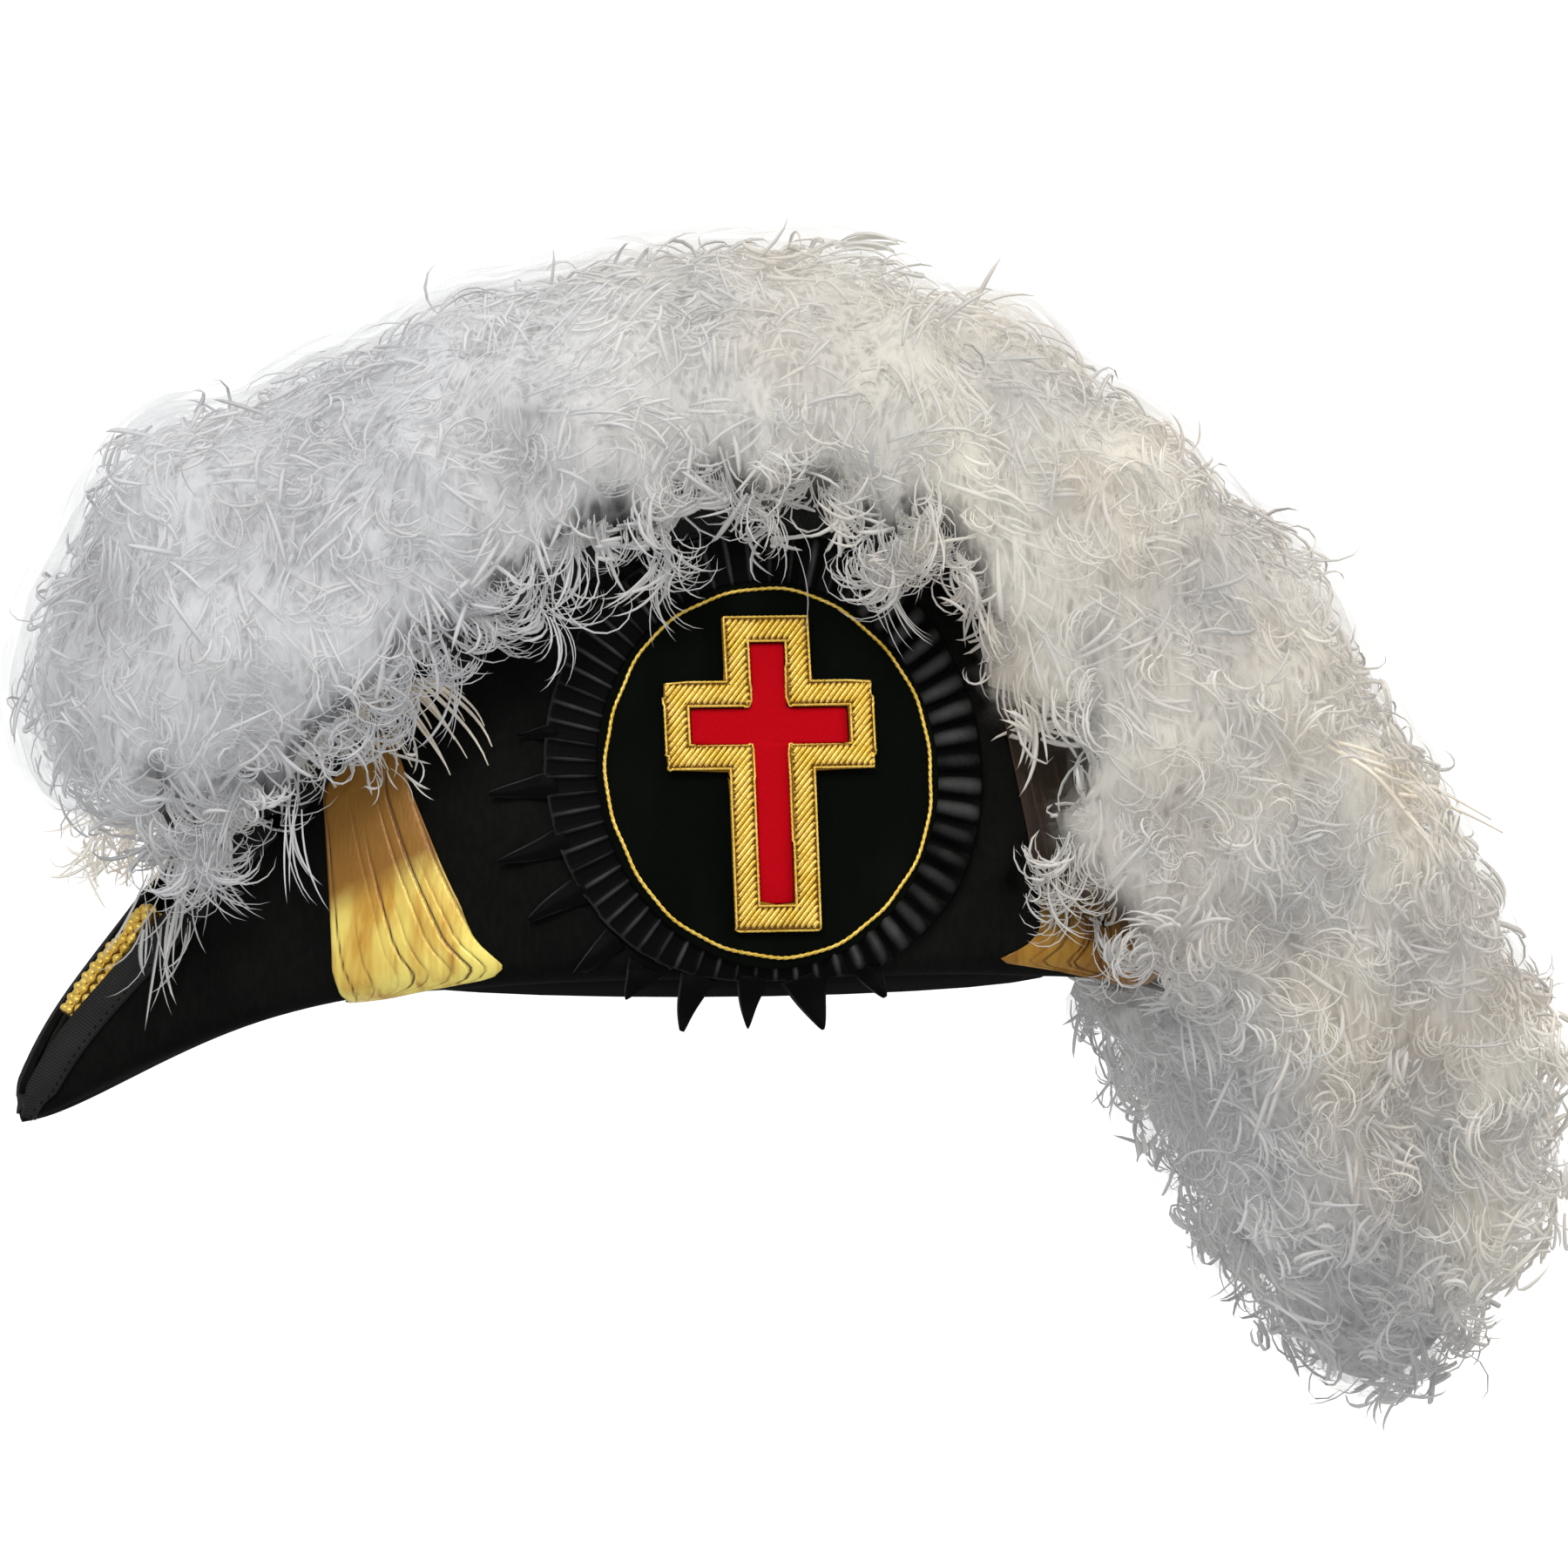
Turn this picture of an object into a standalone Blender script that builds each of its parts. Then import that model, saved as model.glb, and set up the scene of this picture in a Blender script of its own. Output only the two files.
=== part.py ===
"""Plumed dress hat, worn fore and aft.

A felt brim is turned up on both sides into two tall fans that run out to a beak at the front and
at the rear. An oval crown stands between them, and a long feather plume lies over their edges.

Frame: the origin is the middle of the head opening, in the plane of the rim. The front beak points
to -X, the rear beak to +X, the wearer's left is -Y, and +Z is up. All sizes are in metres.
"""

import math
from collections import namedtuple

import bmesh
import bpy
import numpy as np
from mathutils import Vector

# Head and crown
HEAD_LENGTH = 0.200
HEAD_WIDTH = 0.160
CROWN_HEIGHT = 0.105
CROWN_WALL = 0.0025
CROWN_ROUND = 0.78
CROWN_RINGS = 12

# Clearances between pieces that touch
GAP = 0.0003
SKIN_GAP = 0.0005

# Felt brim. BEND_ACROSS and BEND_UP limit the bend where the beaks grow narrow and low.
FELT = 0.0023
RIM_SHELF = 0.008
FAN_HEIGHT = 0.134
FAN_SPREAD = 0.124
FAN_BELLY = 0.002
BEND_RADIUS = 0.010
BEND_ACROSS = 0.6
BEND_UP = 0.4
BOTTOM_RISE = 0.004
FRONT_BEAK = 0.097
REAR_BEAK = 0.083
FRONT_DROOP = 0.0445
REAR_DROOP = 0.034

# Ribbon binding over the fans' edges. BINDING_SHARE limits it to a share of a low wall.
BINDING_WIDTH = 0.008
BINDING_THICK = 0.0008
BINDING_END = 1.93
BINDING_SHARE = 0.6

# Gold lace bands. LACE_LEAN is the flattest lean of a fan's edge that still sets a band's top.
LACE_THICK = 0.0007
LACE_CREASE = 0.0004
LACE_COLUMNS = 5
LACE_LEAN = 0.3

# Rosette on the left fan. The PLEAT values after PLEAT_WIDTH are shares of the pleats' width, height
# and thickness, POINT_PROFILE gives the edge's reach at four places of a point, and POINT_CLEAR is
# the room left under the binding, as a share of its width.
ROSETTE_X = 0.0
ROSETTE_Z = 0.0568
RING_WIDTH = 0.0917
RING_HEIGHT = 0.1017
RING_CORD = 0.0012
DISC_MARGIN = 0.003
DISC_THICK = 0.0040
DISC_SIDE = 0.7
DISC_SEAT = 0.004
DISC_SIDES = 30
RING_SIDES = 36
RIBBON_THICK = 0.0009
PLEAT_HEIGHT = 0.0020
PLEAT_WIDTH = 0.0105
PLEAT_CREST = 0.8
PLEAT_END = 0.2
PLEAT_LIFT = 0.5
RIBBON_POINTS = 27
POINT_LENGTH = 0.016
POINT_PROFILE = (1.00, 0.30, 0.02, 0.55)
POINT_CLEAR = 1.3

# Cross on the rosette
CROSS_WIDTH = 0.0590
CROSS_HEIGHT = 0.0865
CROSS_ARM_DROP = 0.0179
CROSS_BAR = 0.0245
CROSS_BORDER = 0.0070
BORDER_THICK = 0.0016
FIELD_THICK = 0.0008
CROSS_STEP = 0.022

# Gold tassel in the front beak. Its ends are reaches in the felt's outline, and they sink below
# the fans' edges by a share of its thickness.
TASSEL_THICK = 0.010
TASSEL_HEAD = -1.60
TASSEL_FOOT = -1.84
TASSEL_HEAD_SINK = 0.3
TASSEL_FOOT_SINK = 0.7
TASSEL_SIDES = 12
TASSEL_GROOVE = 0.9

# Plume. DRAPE_ROOT and DRAPE_SHOULDER are degrees round it from its back, and DRAPE_SWELL and BACKING
# are shares of its section. PLUME_GRAIN is the finest detail of its surface.
PLUME_DEPTH = 0.126
PLUME_WIDTH = 0.174
TAIL_DROP = 0.138
PLUME_DIP = 0.010
PLUME_DIP_SHARE = 0.3
PLUME_SIDES = 12
PLUME_STEPS = 80
LOCK_WIDTH = 0.034
LOCK_THICK = 0.016
STAGGER = 0.5
DRAPE_HEIGHT = 0.011
DRAPE_ROOT = 70.0
DRAPE_SHOULDER = 97.0
DRAPE_SWELL = 1.04
DRAPE_LEAN = 0.4
BACKING = 0.93
PLUME_GRAIN = 0.005
PLUME_FINENESS = 0.10

# Outline of the felt along the hat. reach runs from -2 at the front tip, through -1 and 1 at the
# ends of the head opening, to 2 at the rear tip. plan is a share of the half width at the rim, keel
# of the beak's droop, rise of BOTTOM_RISE, wall of FAN_HEIGHT and top of half of FAN_SPREAD.
Hull = namedtuple("Hull", "reach plan keel rise wall top")
HULL = (
    Hull(-2.000, 0.050, 1.000, 0.10, 0.075, 0.075),
    Hull(-1.947, 0.085, 0.985, 0.30, 0.150, 0.130),
    Hull(-1.877, 0.130, 0.935, 0.50, 0.210, 0.195),
    Hull(-1.786, 0.190, 0.850, 0.70, 0.262, 0.265),
    Hull(-1.635, 0.300, 0.680, 0.90, 0.330, 0.345),
    Hull(-1.474, 0.425, 0.500, 1.00, 0.410, 0.430),
    Hull(-1.173, 0.645, 0.235, 0.60, 0.560, 0.620),
    Hull(-1.000, 0.760, 0.125, 0.20, 0.640, 0.730),
    Hull(-0.875, 0.850, 0.080, 0.00, 0.710, 0.800),
    Hull(-0.584, 0.955, 0.020, 0.00, 0.860, 0.930),
    Hull(-0.292, 0.993, 0.000, 0.00, 0.960, 0.985),
    Hull(0.000, 1.000, 0.000, 0.00, 1.000, 1.000),
    Hull(0.292, 0.993, 0.000, 0.00, 0.960, 0.985),
    Hull(0.584, 0.955, 0.020, 0.00, 0.865, 0.930),
    Hull(0.875, 0.850, 0.090, 0.00, 0.725, 0.800),
    Hull(1.000, 0.760, 0.140, 0.20, 0.655, 0.730),
    Hull(1.210, 0.630, 0.270, 0.60, 0.560, 0.620),
    Hull(1.510, 0.425, 0.520, 1.00, 0.430, 0.440),
    Hull(1.750, 0.225, 0.780, 0.80, 0.310, 0.300),
    Hull(1.890, 0.125, 0.930, 0.50, 0.210, 0.185),
    Hull(2.000, 0.050, 1.000, 0.10, 0.075, 0.075),
)

# Stations past the head opening, as shares of each beak
FRONT_STATIONS = (0.12, 0.26, 0.42, 0.58, 0.72, 0.84, 0.93, 1.0)
REAR_STATIONS = (0.16, 0.34, 0.52, 0.70, 0.84, 0.93, 1.0)
OPENING_STEPS = 14

# Rows across the felt: 0 to 1 is the bottom, 1 to 2 the bend and 2 to 3 the fan
FELT_ROWS = (0.0, 0.5, 1.0, 1.333, 1.667, 2.0, 2.33, 2.67, 3.0)
ENVELOPE_ROWS = (0.02, 0.5, 1.0, 1.5, 2.0, 2.33, 2.67)

# Edges of the lace bands, as shares of the crown's half length, from under the rim to the top
Lace = namedtuple("Lace", "row inner outer")
FRONT_LACE = (
    Lace(0.40, 0.71, 1.04),
    Lace(1.00, 0.71, 1.09),
    Lace(1.50, 0.75, 1.14),
    Lace(2.00, 0.81, 1.165),
    Lace(2.25, 0.87, 1.165),
    Lace(2.50, 0.92, 1.165),
    Lace(2.75, 0.96, 1.165),
    Lace(3.00, 0.99, 1.165),
)
REAR_LACE = (
    Lace(0.40, 0.62, 1.06),
    Lace(1.00, 0.62, 1.12),
    Lace(1.50, 0.70, 1.15),
    Lace(2.00, 0.77, 1.15),
    Lace(2.25, 0.75, 1.12),
    Lace(2.50, 0.71, 1.08),
    Lace(2.75, 0.68, 1.05),
    Lace(3.00, 0.66, 1.03),
)

# Length of the ribbon's points round the rosette. bearing is in degrees from straight down,
# growing towards the rear, and point is a share of POINT_LENGTH.
Points = namedtuple("Points", "bearing point")
RIBBON_TIPS = (
    Points(-180.0, 0.15),
    Points(-130.0, 0.40),
    Points(-85.0, 1.00),
    Points(-45.0, 0.95),
    Points(-20.0, 0.70),
    Points(10.0, 0.50),
    Points(30.0, 0.45),
    Points(90.0, 0.35),
    Points(140.0, 0.20),
    Points(180.0, 0.15),
)

# Run of the plume. along is a share of the hat's reach to that side, rise of FAN_HEIGHT where it
# is above the rim and of TAIL_DROP where it is below. tall and hang are the halves of PLUME_DEPTH
# at its back and at its front or underside, and wide is a share of PLUME_WIDTH.
Plume = namedtuple("Plume", "along rise tall hang wide")
PLUME = (
    Plume(-1.005, 0.630, 0.10, 0.10, 0.10),
    Plume(-0.935, 0.600, 0.48, 0.60, 0.42),
    Plume(-0.810, 0.680, 0.85, 1.05, 0.70),
    Plume(-0.643, 0.735, 1.00, 1.05, 0.86),
    Plume(-0.455, 0.900, 0.84, 0.84, 0.95),
    Plume(-0.247, 1.080, 0.77, 0.77, 1.00),
    Plume(0.000, 1.165, 0.72, 0.72, 1.00),
    Plume(0.242, 1.100, 0.77, 0.77, 1.00),
    Plume(0.457, 0.920, 0.78, 0.85, 0.97),
    Plume(0.635, 0.680, 0.82, 1.00, 0.92),
    Plume(0.770, 0.385, 0.87, 1.08, 0.86),
    Plume(0.877, 0.060, 0.95, 1.05, 0.80),
    Plume(0.990, -0.240, 0.98, 1.00, 0.74),
    Plume(1.039, -0.490, 0.84, 0.88, 0.64),
    Plume(1.060, -0.700, 0.72, 0.72, 0.54),
    Plume(1.071, -0.870, 0.50, 0.50, 0.38),
    Plume(1.078, -0.985, 0.10, 0.10, 0.08),
)

# Tiers of locks. first and last are shares of the plume's run, start and end are degrees round it
# from its back, and sweep is how far a lock trails, in metres.
Tier = namedtuple("Tier", "first last count start end sweep")
TIERS = (
    Tier(0.07, 0.93, 16, -14.0, 74.0, 0.026),
    Tier(0.05, 0.14, 3, 66.0, 142.0, 0.014),
    Tier(0.55, 0.91, 8, 66.0, 142.0, 0.022),
)

# Locks that fall over the fans' outer faces. reach says where a tip lies along the hat, as in the
# outline of the felt, and level is a share of FAN_HEIGHT.
Drape = namedtuple("Drape", "reach level")
DRAPES = (
    Drape(-1.38, 0.12),
    Drape(-1.24, 0.14),
    Drape(-1.10, 0.30),
    Drape(-0.90, 0.50),
    Drape(-0.69, 0.53),
    Drape(-0.49, 0.62),
    Drape(-0.24, 0.69),
    Drape(0.00, 0.78),
    Drape(0.22, 0.70),
    Drape(0.44, 0.64),
    Drape(0.58, 0.58),
    Drape(0.64, 0.46),
    Drape(0.66, 0.24),
    Drape(0.70, 0.03),
)

# Form of one lock from root to tip: lift is a share of the plume's section there
Lock = namedtuple("Lock", "along width lift")
LOCK = (
    Lock(0.00, 0.30, 0.84),
    Lock(0.30, 0.95, 0.955),
    Lock(0.60, 1.00, 0.985),
    Lock(0.85, 0.62, 0.995),
    Lock(1.00, 0.08, 1.02),
)

# Stations of the tassel: along is a share of its run, wide of the room between the fans and
# thick of TASSEL_THICK
Tassel = namedtuple("Tassel", "along wide thick")
TASSEL = (
    Tassel(0.00, 0.30, 0.50),
    Tassel(0.08, 0.42, 0.85),
    Tassel(0.20, 0.42, 0.85),
    Tassel(0.26, 0.34, 0.62),
    Tassel(0.36, 0.60, 0.90),
    Tassel(0.75, 1.00, 1.00),
    Tassel(1.00, 1.00, 0.90),
)

# Worked out from the sizes above
CROWN_HALF_LENGTH = HEAD_LENGTH / 2 + CROWN_WALL
CROWN_HALF_WIDTH = HEAD_WIDTH / 2 + CROWN_WALL
OPENING_HALF_LENGTH = CROWN_HALF_LENGTH + GAP
OPENING_HALF_WIDTH = CROWN_HALF_WIDTH + GAP
RIM_HALF_WIDTH = OPENING_HALF_WIDTH + RIM_SHELF
FRONT_REACH = OPENING_HALF_LENGTH + FRONT_BEAK
REAR_REACH = OPENING_HALF_LENGTH + REAR_BEAK
TRIM_HEIGHT = SKIN_GAP + max(BINDING_THICK, LACE_THICK + LACE_CREASE) + 2 * GAP
STEP = 1e-4

FELT_BLACK = (0.012, 0.012, 0.012)
RIBBON_BLACK = (0.026, 0.026, 0.025)
VELVET_BLACK = (0.004, 0.005, 0.004)
LACE_GOLD = (0.72, 0.42, 0.07)
CORD_GOLD = (0.86, 0.64, 0.22)
BULLION_GOLD = (0.82, 0.58, 0.12)
CROSS_RED = (0.55, 0.004, 0.015)
PLUME_WHITE = (0.66, 0.67, 0.69)


class Curve:
    """A smooth curve through a few points, read at any place along it."""

    def __init__(self, places, values):
        self.places = np.array(places, dtype=float)
        self.values = np.array(values, dtype=float)
        self.slopes = np.gradient(self.values, self.places)

    def __call__(self, place):
        place = min(max(place, self.places[0]), self.places[-1])
        i = int(np.clip(np.searchsorted(self.places, place) - 1, 0, len(self.places) - 2))
        run = self.places[i + 1] - self.places[i]
        t = (place - self.places[i]) / run
        start = (2 * t**3 - 3 * t**2 + 1) * self.values[i] + (t**3 - 2 * t**2 + t) * run * self.slopes[i]
        end = (3 * t**2 - 2 * t**3) * self.values[i + 1] + (t**3 - t**2) * run * self.slopes[i + 1]
        return float(start + end)


def place_of(reach):
    """Turn a reach from the outline table into a place along X."""
    beak = FRONT_BEAK if reach < 0 else REAR_BEAK
    length = OPENING_HALF_LENGTH * min(abs(reach), 1.0) + beak * max(abs(reach) - 1.0, 0.0)
    return math.copysign(length, reach)


HULL_PLACES = [place_of(row.reach) for row in HULL]
PLAN = Curve(HULL_PLACES, [row.plan * RIM_HALF_WIDTH for row in HULL])
KEEL = Curve(HULL_PLACES, [-row.keel * (FRONT_DROOP if row.reach < 0 else REAR_DROOP) for row in HULL])
RISE = Curve(HULL_PLACES, [row.rise * BOTTOM_RISE for row in HULL])
WALL = Curve(HULL_PLACES, [row.wall * FAN_HEIGHT for row in HULL])
TOP = Curve(HULL_PLACES, [row.top * FAN_SPREAD / 2 for row in HULL])

Section = namedtuple("Section", "inner base top keel floor edge bend")


def section(x):
    """Sizes of the felt's left half where it crosses the plane at x."""
    ratio = min(abs(x) / OPENING_HALF_LENGTH, 1.0)
    inner = OPENING_HALF_WIDTH * math.sqrt(1.0 - ratio**2)
    base, wall, keel = PLAN(x), WALL(x), KEEL(x)
    bend = min(BEND_RADIUS, BEND_ACROSS * (base - inner), BEND_UP * wall)
    return Section(inner, base, TOP(x), keel, keel + RISE(x), keel + wall, bend)


def felt_point(x, row):
    """A point on the outer face of the left half of the felt."""
    cut = section(x)
    flat_end = cut.base - cut.bend
    if row <= 1.0:
        y = cut.inner + (flat_end - cut.inner) * row
        z = cut.keel + (cut.floor - cut.keel) * (y / flat_end) ** 2
    elif row <= 2.0:
        turn = (row - 1.0) * math.pi / 2
        y = flat_end + cut.bend * math.sin(turn)
        z = cut.floor + cut.bend * (1.0 - math.cos(turn))
    else:
        t = row - 2.0
        foot = cut.floor + cut.bend
        y = cut.base + (cut.top - cut.base) * t + FAN_BELLY * math.sin(math.pi * t)
        z = foot + (cut.edge - foot) * t
    return Vector((x, -y, z))


def felt_normal(x, row):
    """The outward direction of the felt's left half."""
    x = min(max(x, -FRONT_REACH + STEP), REAR_REACH - STEP)
    row = min(max(row, STEP), 3.0 - STEP)
    along = felt_point(x + STEP, row) - felt_point(x - STEP, row)
    across = felt_point(x, row + STEP) - felt_point(x, row - STEP)
    return along.cross(across).normalized()


def felt_offset(x, row, height):
    """A point at a height over the felt's left half."""
    return felt_point(x, row) + felt_normal(x, row) * height


def edge_frame(x):
    """The fan's edge at x, with the outward direction and the direction off the edge."""
    inside = min(max(x, -FRONT_REACH + STEP), REAR_REACH - STEP)
    along = (felt_point(inside + STEP, 3.0) - felt_point(inside - STEP, 3.0)).normalized()
    out = felt_normal(x, 3.0)
    off = out.cross(along).normalized()
    if off.z < 0:
        off.negate()
    return felt_point(x, 3.0), out, off


def below_edge(x, depth):
    """A point on the fan straight down from its edge by a depth, with its outward direction."""
    edge, out, off = edge_frame(x)
    place = edge - off * depth
    cut = section(place.x)
    row = 2.0 + max((place.z - cut.floor - cut.bend) / (cut.edge - cut.floor - cut.bend), 0.0)
    return felt_point(place.x, row), felt_normal(place.x, row)


def fan_half_width(x, z):
    """Half width of the fan's outer face at a height, hanging straight below the bend."""
    cut = section(x)
    foot = cut.floor + cut.bend
    t = max((z - foot) / (cut.edge - foot), 0.0)
    return cut.base + (cut.top - cut.base) * t + FAN_BELLY * math.sin(math.pi * min(t, 1.0))


def on_fan(x, z, height):
    """A point at a height over the left fan, by its place and level."""
    slope_x = (fan_half_width(x + STEP, z) - fan_half_width(x - STEP, z)) / (2 * STEP)
    slope_z = (fan_half_width(x, z + STEP) - fan_half_width(x, z - STEP)) / (2 * STEP)
    out = Vector((-slope_x, -1.0, -slope_z)).normalized()
    return Vector((x, -fan_half_width(x, z), z)) + out * height


def stations():
    """Places of the felt's sections from the front tip to the rear tip."""
    places = [-(OPENING_HALF_LENGTH + share * FRONT_BEAK) for share in reversed(FRONT_STATIONS)]
    for i in range(OPENING_STEPS + 1):
        places.append(-OPENING_HALF_LENGTH * math.cos(math.pi * i / OPENING_STEPS))
    places += [OPENING_HALF_LENGTH + share * REAR_BEAK for share in REAR_STATIONS]
    return places


def material(name, colour, roughness, metallic):
    made = bpy.data.materials.new(name)
    made.use_nodes = True
    shader = made.node_tree.nodes["Principled BSDF"]
    shader.inputs["Base Color"].default_value = (*colour, 1.0)
    shader.inputs["Roughness"].default_value = roughness
    shader.inputs["Metallic"].default_value = metallic
    made.diffuse_color = (*colour, 1.0)
    return made


def collection(name):
    made = bpy.data.collections.new(name)
    bpy.context.scene.collection.children.link(made)
    return made


def piece(bm, name, finish=None, home="plumed_hat", smooth=True):
    """Turn a bmesh into an object, in the hat's collection unless told otherwise."""
    mesh = bpy.data.meshes.new(name)
    bm.to_mesh(mesh)
    bm.free()
    if smooth:
        mesh.shade_smooth()
        mesh.set_sharp_from_angle(angle=math.radians(40))
    obj = bpy.data.objects.new(name, mesh)
    if finish:
        mesh.materials.append(material(name, *finish))
    bpy.data.collections[home].objects.link(obj)
    return obj


def cutter(bm, name):
    obj = piece(bm, name, home="cutters", smooth=False)
    obj.display_type = "WIRE"
    obj.hide_render = True
    return obj


def loft(rings, cyclic=False):
    """A closed bmesh through rings of points, capped at its ends or joined round."""
    bm = bmesh.new()
    rows = [[bm.verts.new(point) for point in ring] for ring in rings]
    pairs = list(zip(rows, rows[1:]))
    if cyclic:
        pairs.append((rows[-1], rows[0]))
    else:
        bm.faces.new(rows[0])
        bm.faces.new(rows[-1])
    for one, two in pairs:
        for i in range(len(one)):
            j = (i + 1) % len(one)
            bm.faces.new((one[i], one[j], two[j], two[i]))
    bmesh.ops.recalc_face_normals(bm, faces=bm.faces)
    return bm


def mirrored(rings, side):
    """Rings made for the left side, kept there or carried over to the right."""
    return [[Vector((p.x, -side * p.y, p.z)) for p in ring] for ring in rings]


def build_crown():
    """An oval dome, open below, from the upper half of a sphere."""
    bm = bmesh.new()
    bmesh.ops.create_uvsphere(bm, u_segments=2 * OPENING_STEPS, v_segments=CROWN_RINGS, radius=1.0)
    lower = [v for v in bm.verts if v.co.z < -0.01]
    bmesh.ops.delete(bm, geom=lower, context="VERTS")
    height = CROWN_HEIGHT + CROWN_WALL
    for vert in bm.verts:
        level = min(max(vert.co.z, 0.0), 1.0)
        round_share = math.sqrt(max(1.0 - level**2, 0.0))
        swell = round_share ** (CROWN_ROUND - 1.0) if round_share > 0.01 else 0.0
        vert.co.x *= swell * CROWN_HALF_LENGTH
        vert.co.y *= swell * CROWN_HALF_WIDTH
        vert.co.z = level * height
    obj = piece(bm, "crown", (FELT_BLACK, 0.9, 0.0))
    wall = obj.modifiers.new("wall", "SOLIDIFY")
    wall.thickness = CROWN_WALL
    wall.offset = -1.0
    wall.use_even_offset = True


def build_brim():
    """The felt sheet: a loft of the left half, mirrored and given its thickness."""
    bm = bmesh.new()
    rows = [[bm.verts.new(felt_point(x, row)) for row in FELT_ROWS] for x in stations()]
    for one, two in zip(rows, rows[1:]):
        for j in range(len(FELT_ROWS) - 1):
            bm.faces.new((one[j], two[j], two[j + 1], one[j + 1]))
    obj = piece(bm, "brim", (FELT_BLACK, 0.9, 0.0))
    halves = obj.modifiers.new("halves", "MIRROR")
    halves.use_axis = (False, True, False)
    halves.merge_threshold = 0.0001
    wall = obj.modifiers.new("wall", "SOLIDIFY")
    wall.thickness = FELT
    wall.offset = -1.0
    wall.use_even_offset = True


def build_binding(name, side):
    """A ribbon folded over a fan's edge, from near the front tip to near the rear tip."""
    last = {-1: place_of(-BINDING_END), 1: place_of(BINDING_END)}
    near, far = SKIN_GAP, SKIN_GAP + BINDING_THICK
    rings = []
    for x in stations():
        if not last[-1] - STEP <= x <= last[1] + STEP:
            continue
        edge, out, off = edge_frame(x)
        foot, foot_out = below_edge(x, min(BINDING_WIDTH, BINDING_SHARE * WALL(x)))
        rings.append([
            foot + foot_out * near, foot + foot_out * far,
            edge + out * far + off * far, edge - out * (FELT + far) + off * far,
            foot - foot_out * (FELT + far), foot - foot_out * (FELT + near),
            edge - out * (FELT + near) + off * near, edge + out * near + off * near,
        ])
    piece(loft(mirrored(rings, side)), name, (RIBBON_BLACK, 0.6, 0.0))


def lace_top(x):
    """The row just under the binding's leg."""
    edge, out, off = edge_frame(x)
    cut = section(x)
    drop = (BINDING_WIDTH + 2 * SKIN_GAP) / max(off.z, LACE_LEAN)
    return 3.0 - drop / (cut.edge - cut.floor - cut.bend)


def build_lace(name, table, end, side):
    """A creased gold band round the rim and up the fan. end is -1 at the front and 1 at the rear."""
    rows = [row.row for row in table]
    inner = Curve(rows, [end * row.inner * CROWN_HALF_LENGTH for row in table])
    outer = Curve(rows, [end * row.outer * CROWN_HALF_LENGTH for row in table])
    first = table[0].row
    levels = [first] + [row for row in FELT_ROWS if row > first + 0.1]
    rings = []
    for level in levels:
        under, over = [], []
        for k in range(LACE_COLUMNS):
            share = k / (LACE_COLUMNS - 1)
            x = inner(level) + (outer(level) - inner(level)) * share
            row = level if level <= 2.0 else 2.0 + (level - 2.0) * (lace_top(x) - 2.0)
            crease = LACE_CREASE * (k % 2)
            under.append(felt_offset(x, row, SKIN_GAP))
            over.append(felt_offset(x, row, SKIN_GAP + LACE_THICK + crease))
        rings.append(under + over[::-1])
    piece(loft(mirrored(rings, side)), name, (LACE_GOLD, 0.35, 0.8))


def ring_radius(bearing):
    """Distance from the rosette's middle to its gold ring, by the bearing from straight down."""
    across = math.sin(bearing) / (RING_WIDTH / 2)
    down = math.cos(bearing) / (RING_HEIGHT / 2)
    return 1.0 / math.hypot(across, down)


def rosette_point(bearing, radius, height):
    x = ROSETTE_X + radius * math.sin(bearing)
    z = ROSETTE_Z - radius * math.cos(bearing)
    return on_fan(x, z, height)


def ribbon_reach(bearing):
    """Distance from the rosette's middle to the ribbon's edge and to the ends of its points there."""
    tips = Curve([row.bearing for row in RIBBON_TIPS], [row.point * POINT_LENGTH for row in RIBBON_TIPS])
    frill = ring_radius(bearing) + DISC_MARGIN + PLEAT_WIDTH
    point = frill + tips(math.degrees(bearing))
    x = ROSETTE_X + point * math.sin(bearing)
    limit = section(x).edge - POINT_CLEAR * (BINDING_WIDTH + 2 * SKIN_GAP) - ROSETTE_Z
    if -math.cos(bearing) * point > limit:
        point = -limit / math.cos(bearing)
    return min(frill, point), point


def turn(count):
    """Bearings that share out a full turn."""
    return [2 * math.pi * i / count - math.pi for i in range(count)]


def build_rosette_ribbon():
    """A ring of knife pleats whose outer ends are cut to points."""
    seat = SKIN_GAP + RIBBON_THICK
    rings = []
    for i, bearing in enumerate(turn(4 * RIBBON_POINTS)):
        disc = ring_radius(bearing) + DISC_MARGIN
        fold = PLEAT_HEIGHT * (i % 2)
        frill, point = ribbon_reach(bearing)
        end = frill + POINT_PROFILE[i % 4] * (point - frill)
        crest = frill - (1 - PLEAT_CREST) * PLEAT_WIDTH
        rings.append([
            rosette_point(bearing, disc - DISC_SEAT + GAP, SKIN_GAP),
            rosette_point(bearing, crest, SKIN_GAP + PLEAT_LIFT * RIBBON_THICK),
            rosette_point(bearing, end, SKIN_GAP),
            rosette_point(bearing, end, seat + PLEAT_END * fold),
            rosette_point(bearing, crest, seat + fold),
            rosette_point(bearing, disc + GAP, seat),
            rosette_point(bearing, disc - DISC_SEAT + GAP, seat),
        ])
    piece(loft(rings, cyclic=True), "rosette_ribbon", (RIBBON_BLACK, 0.55, 0.0), smooth=False)


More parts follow.
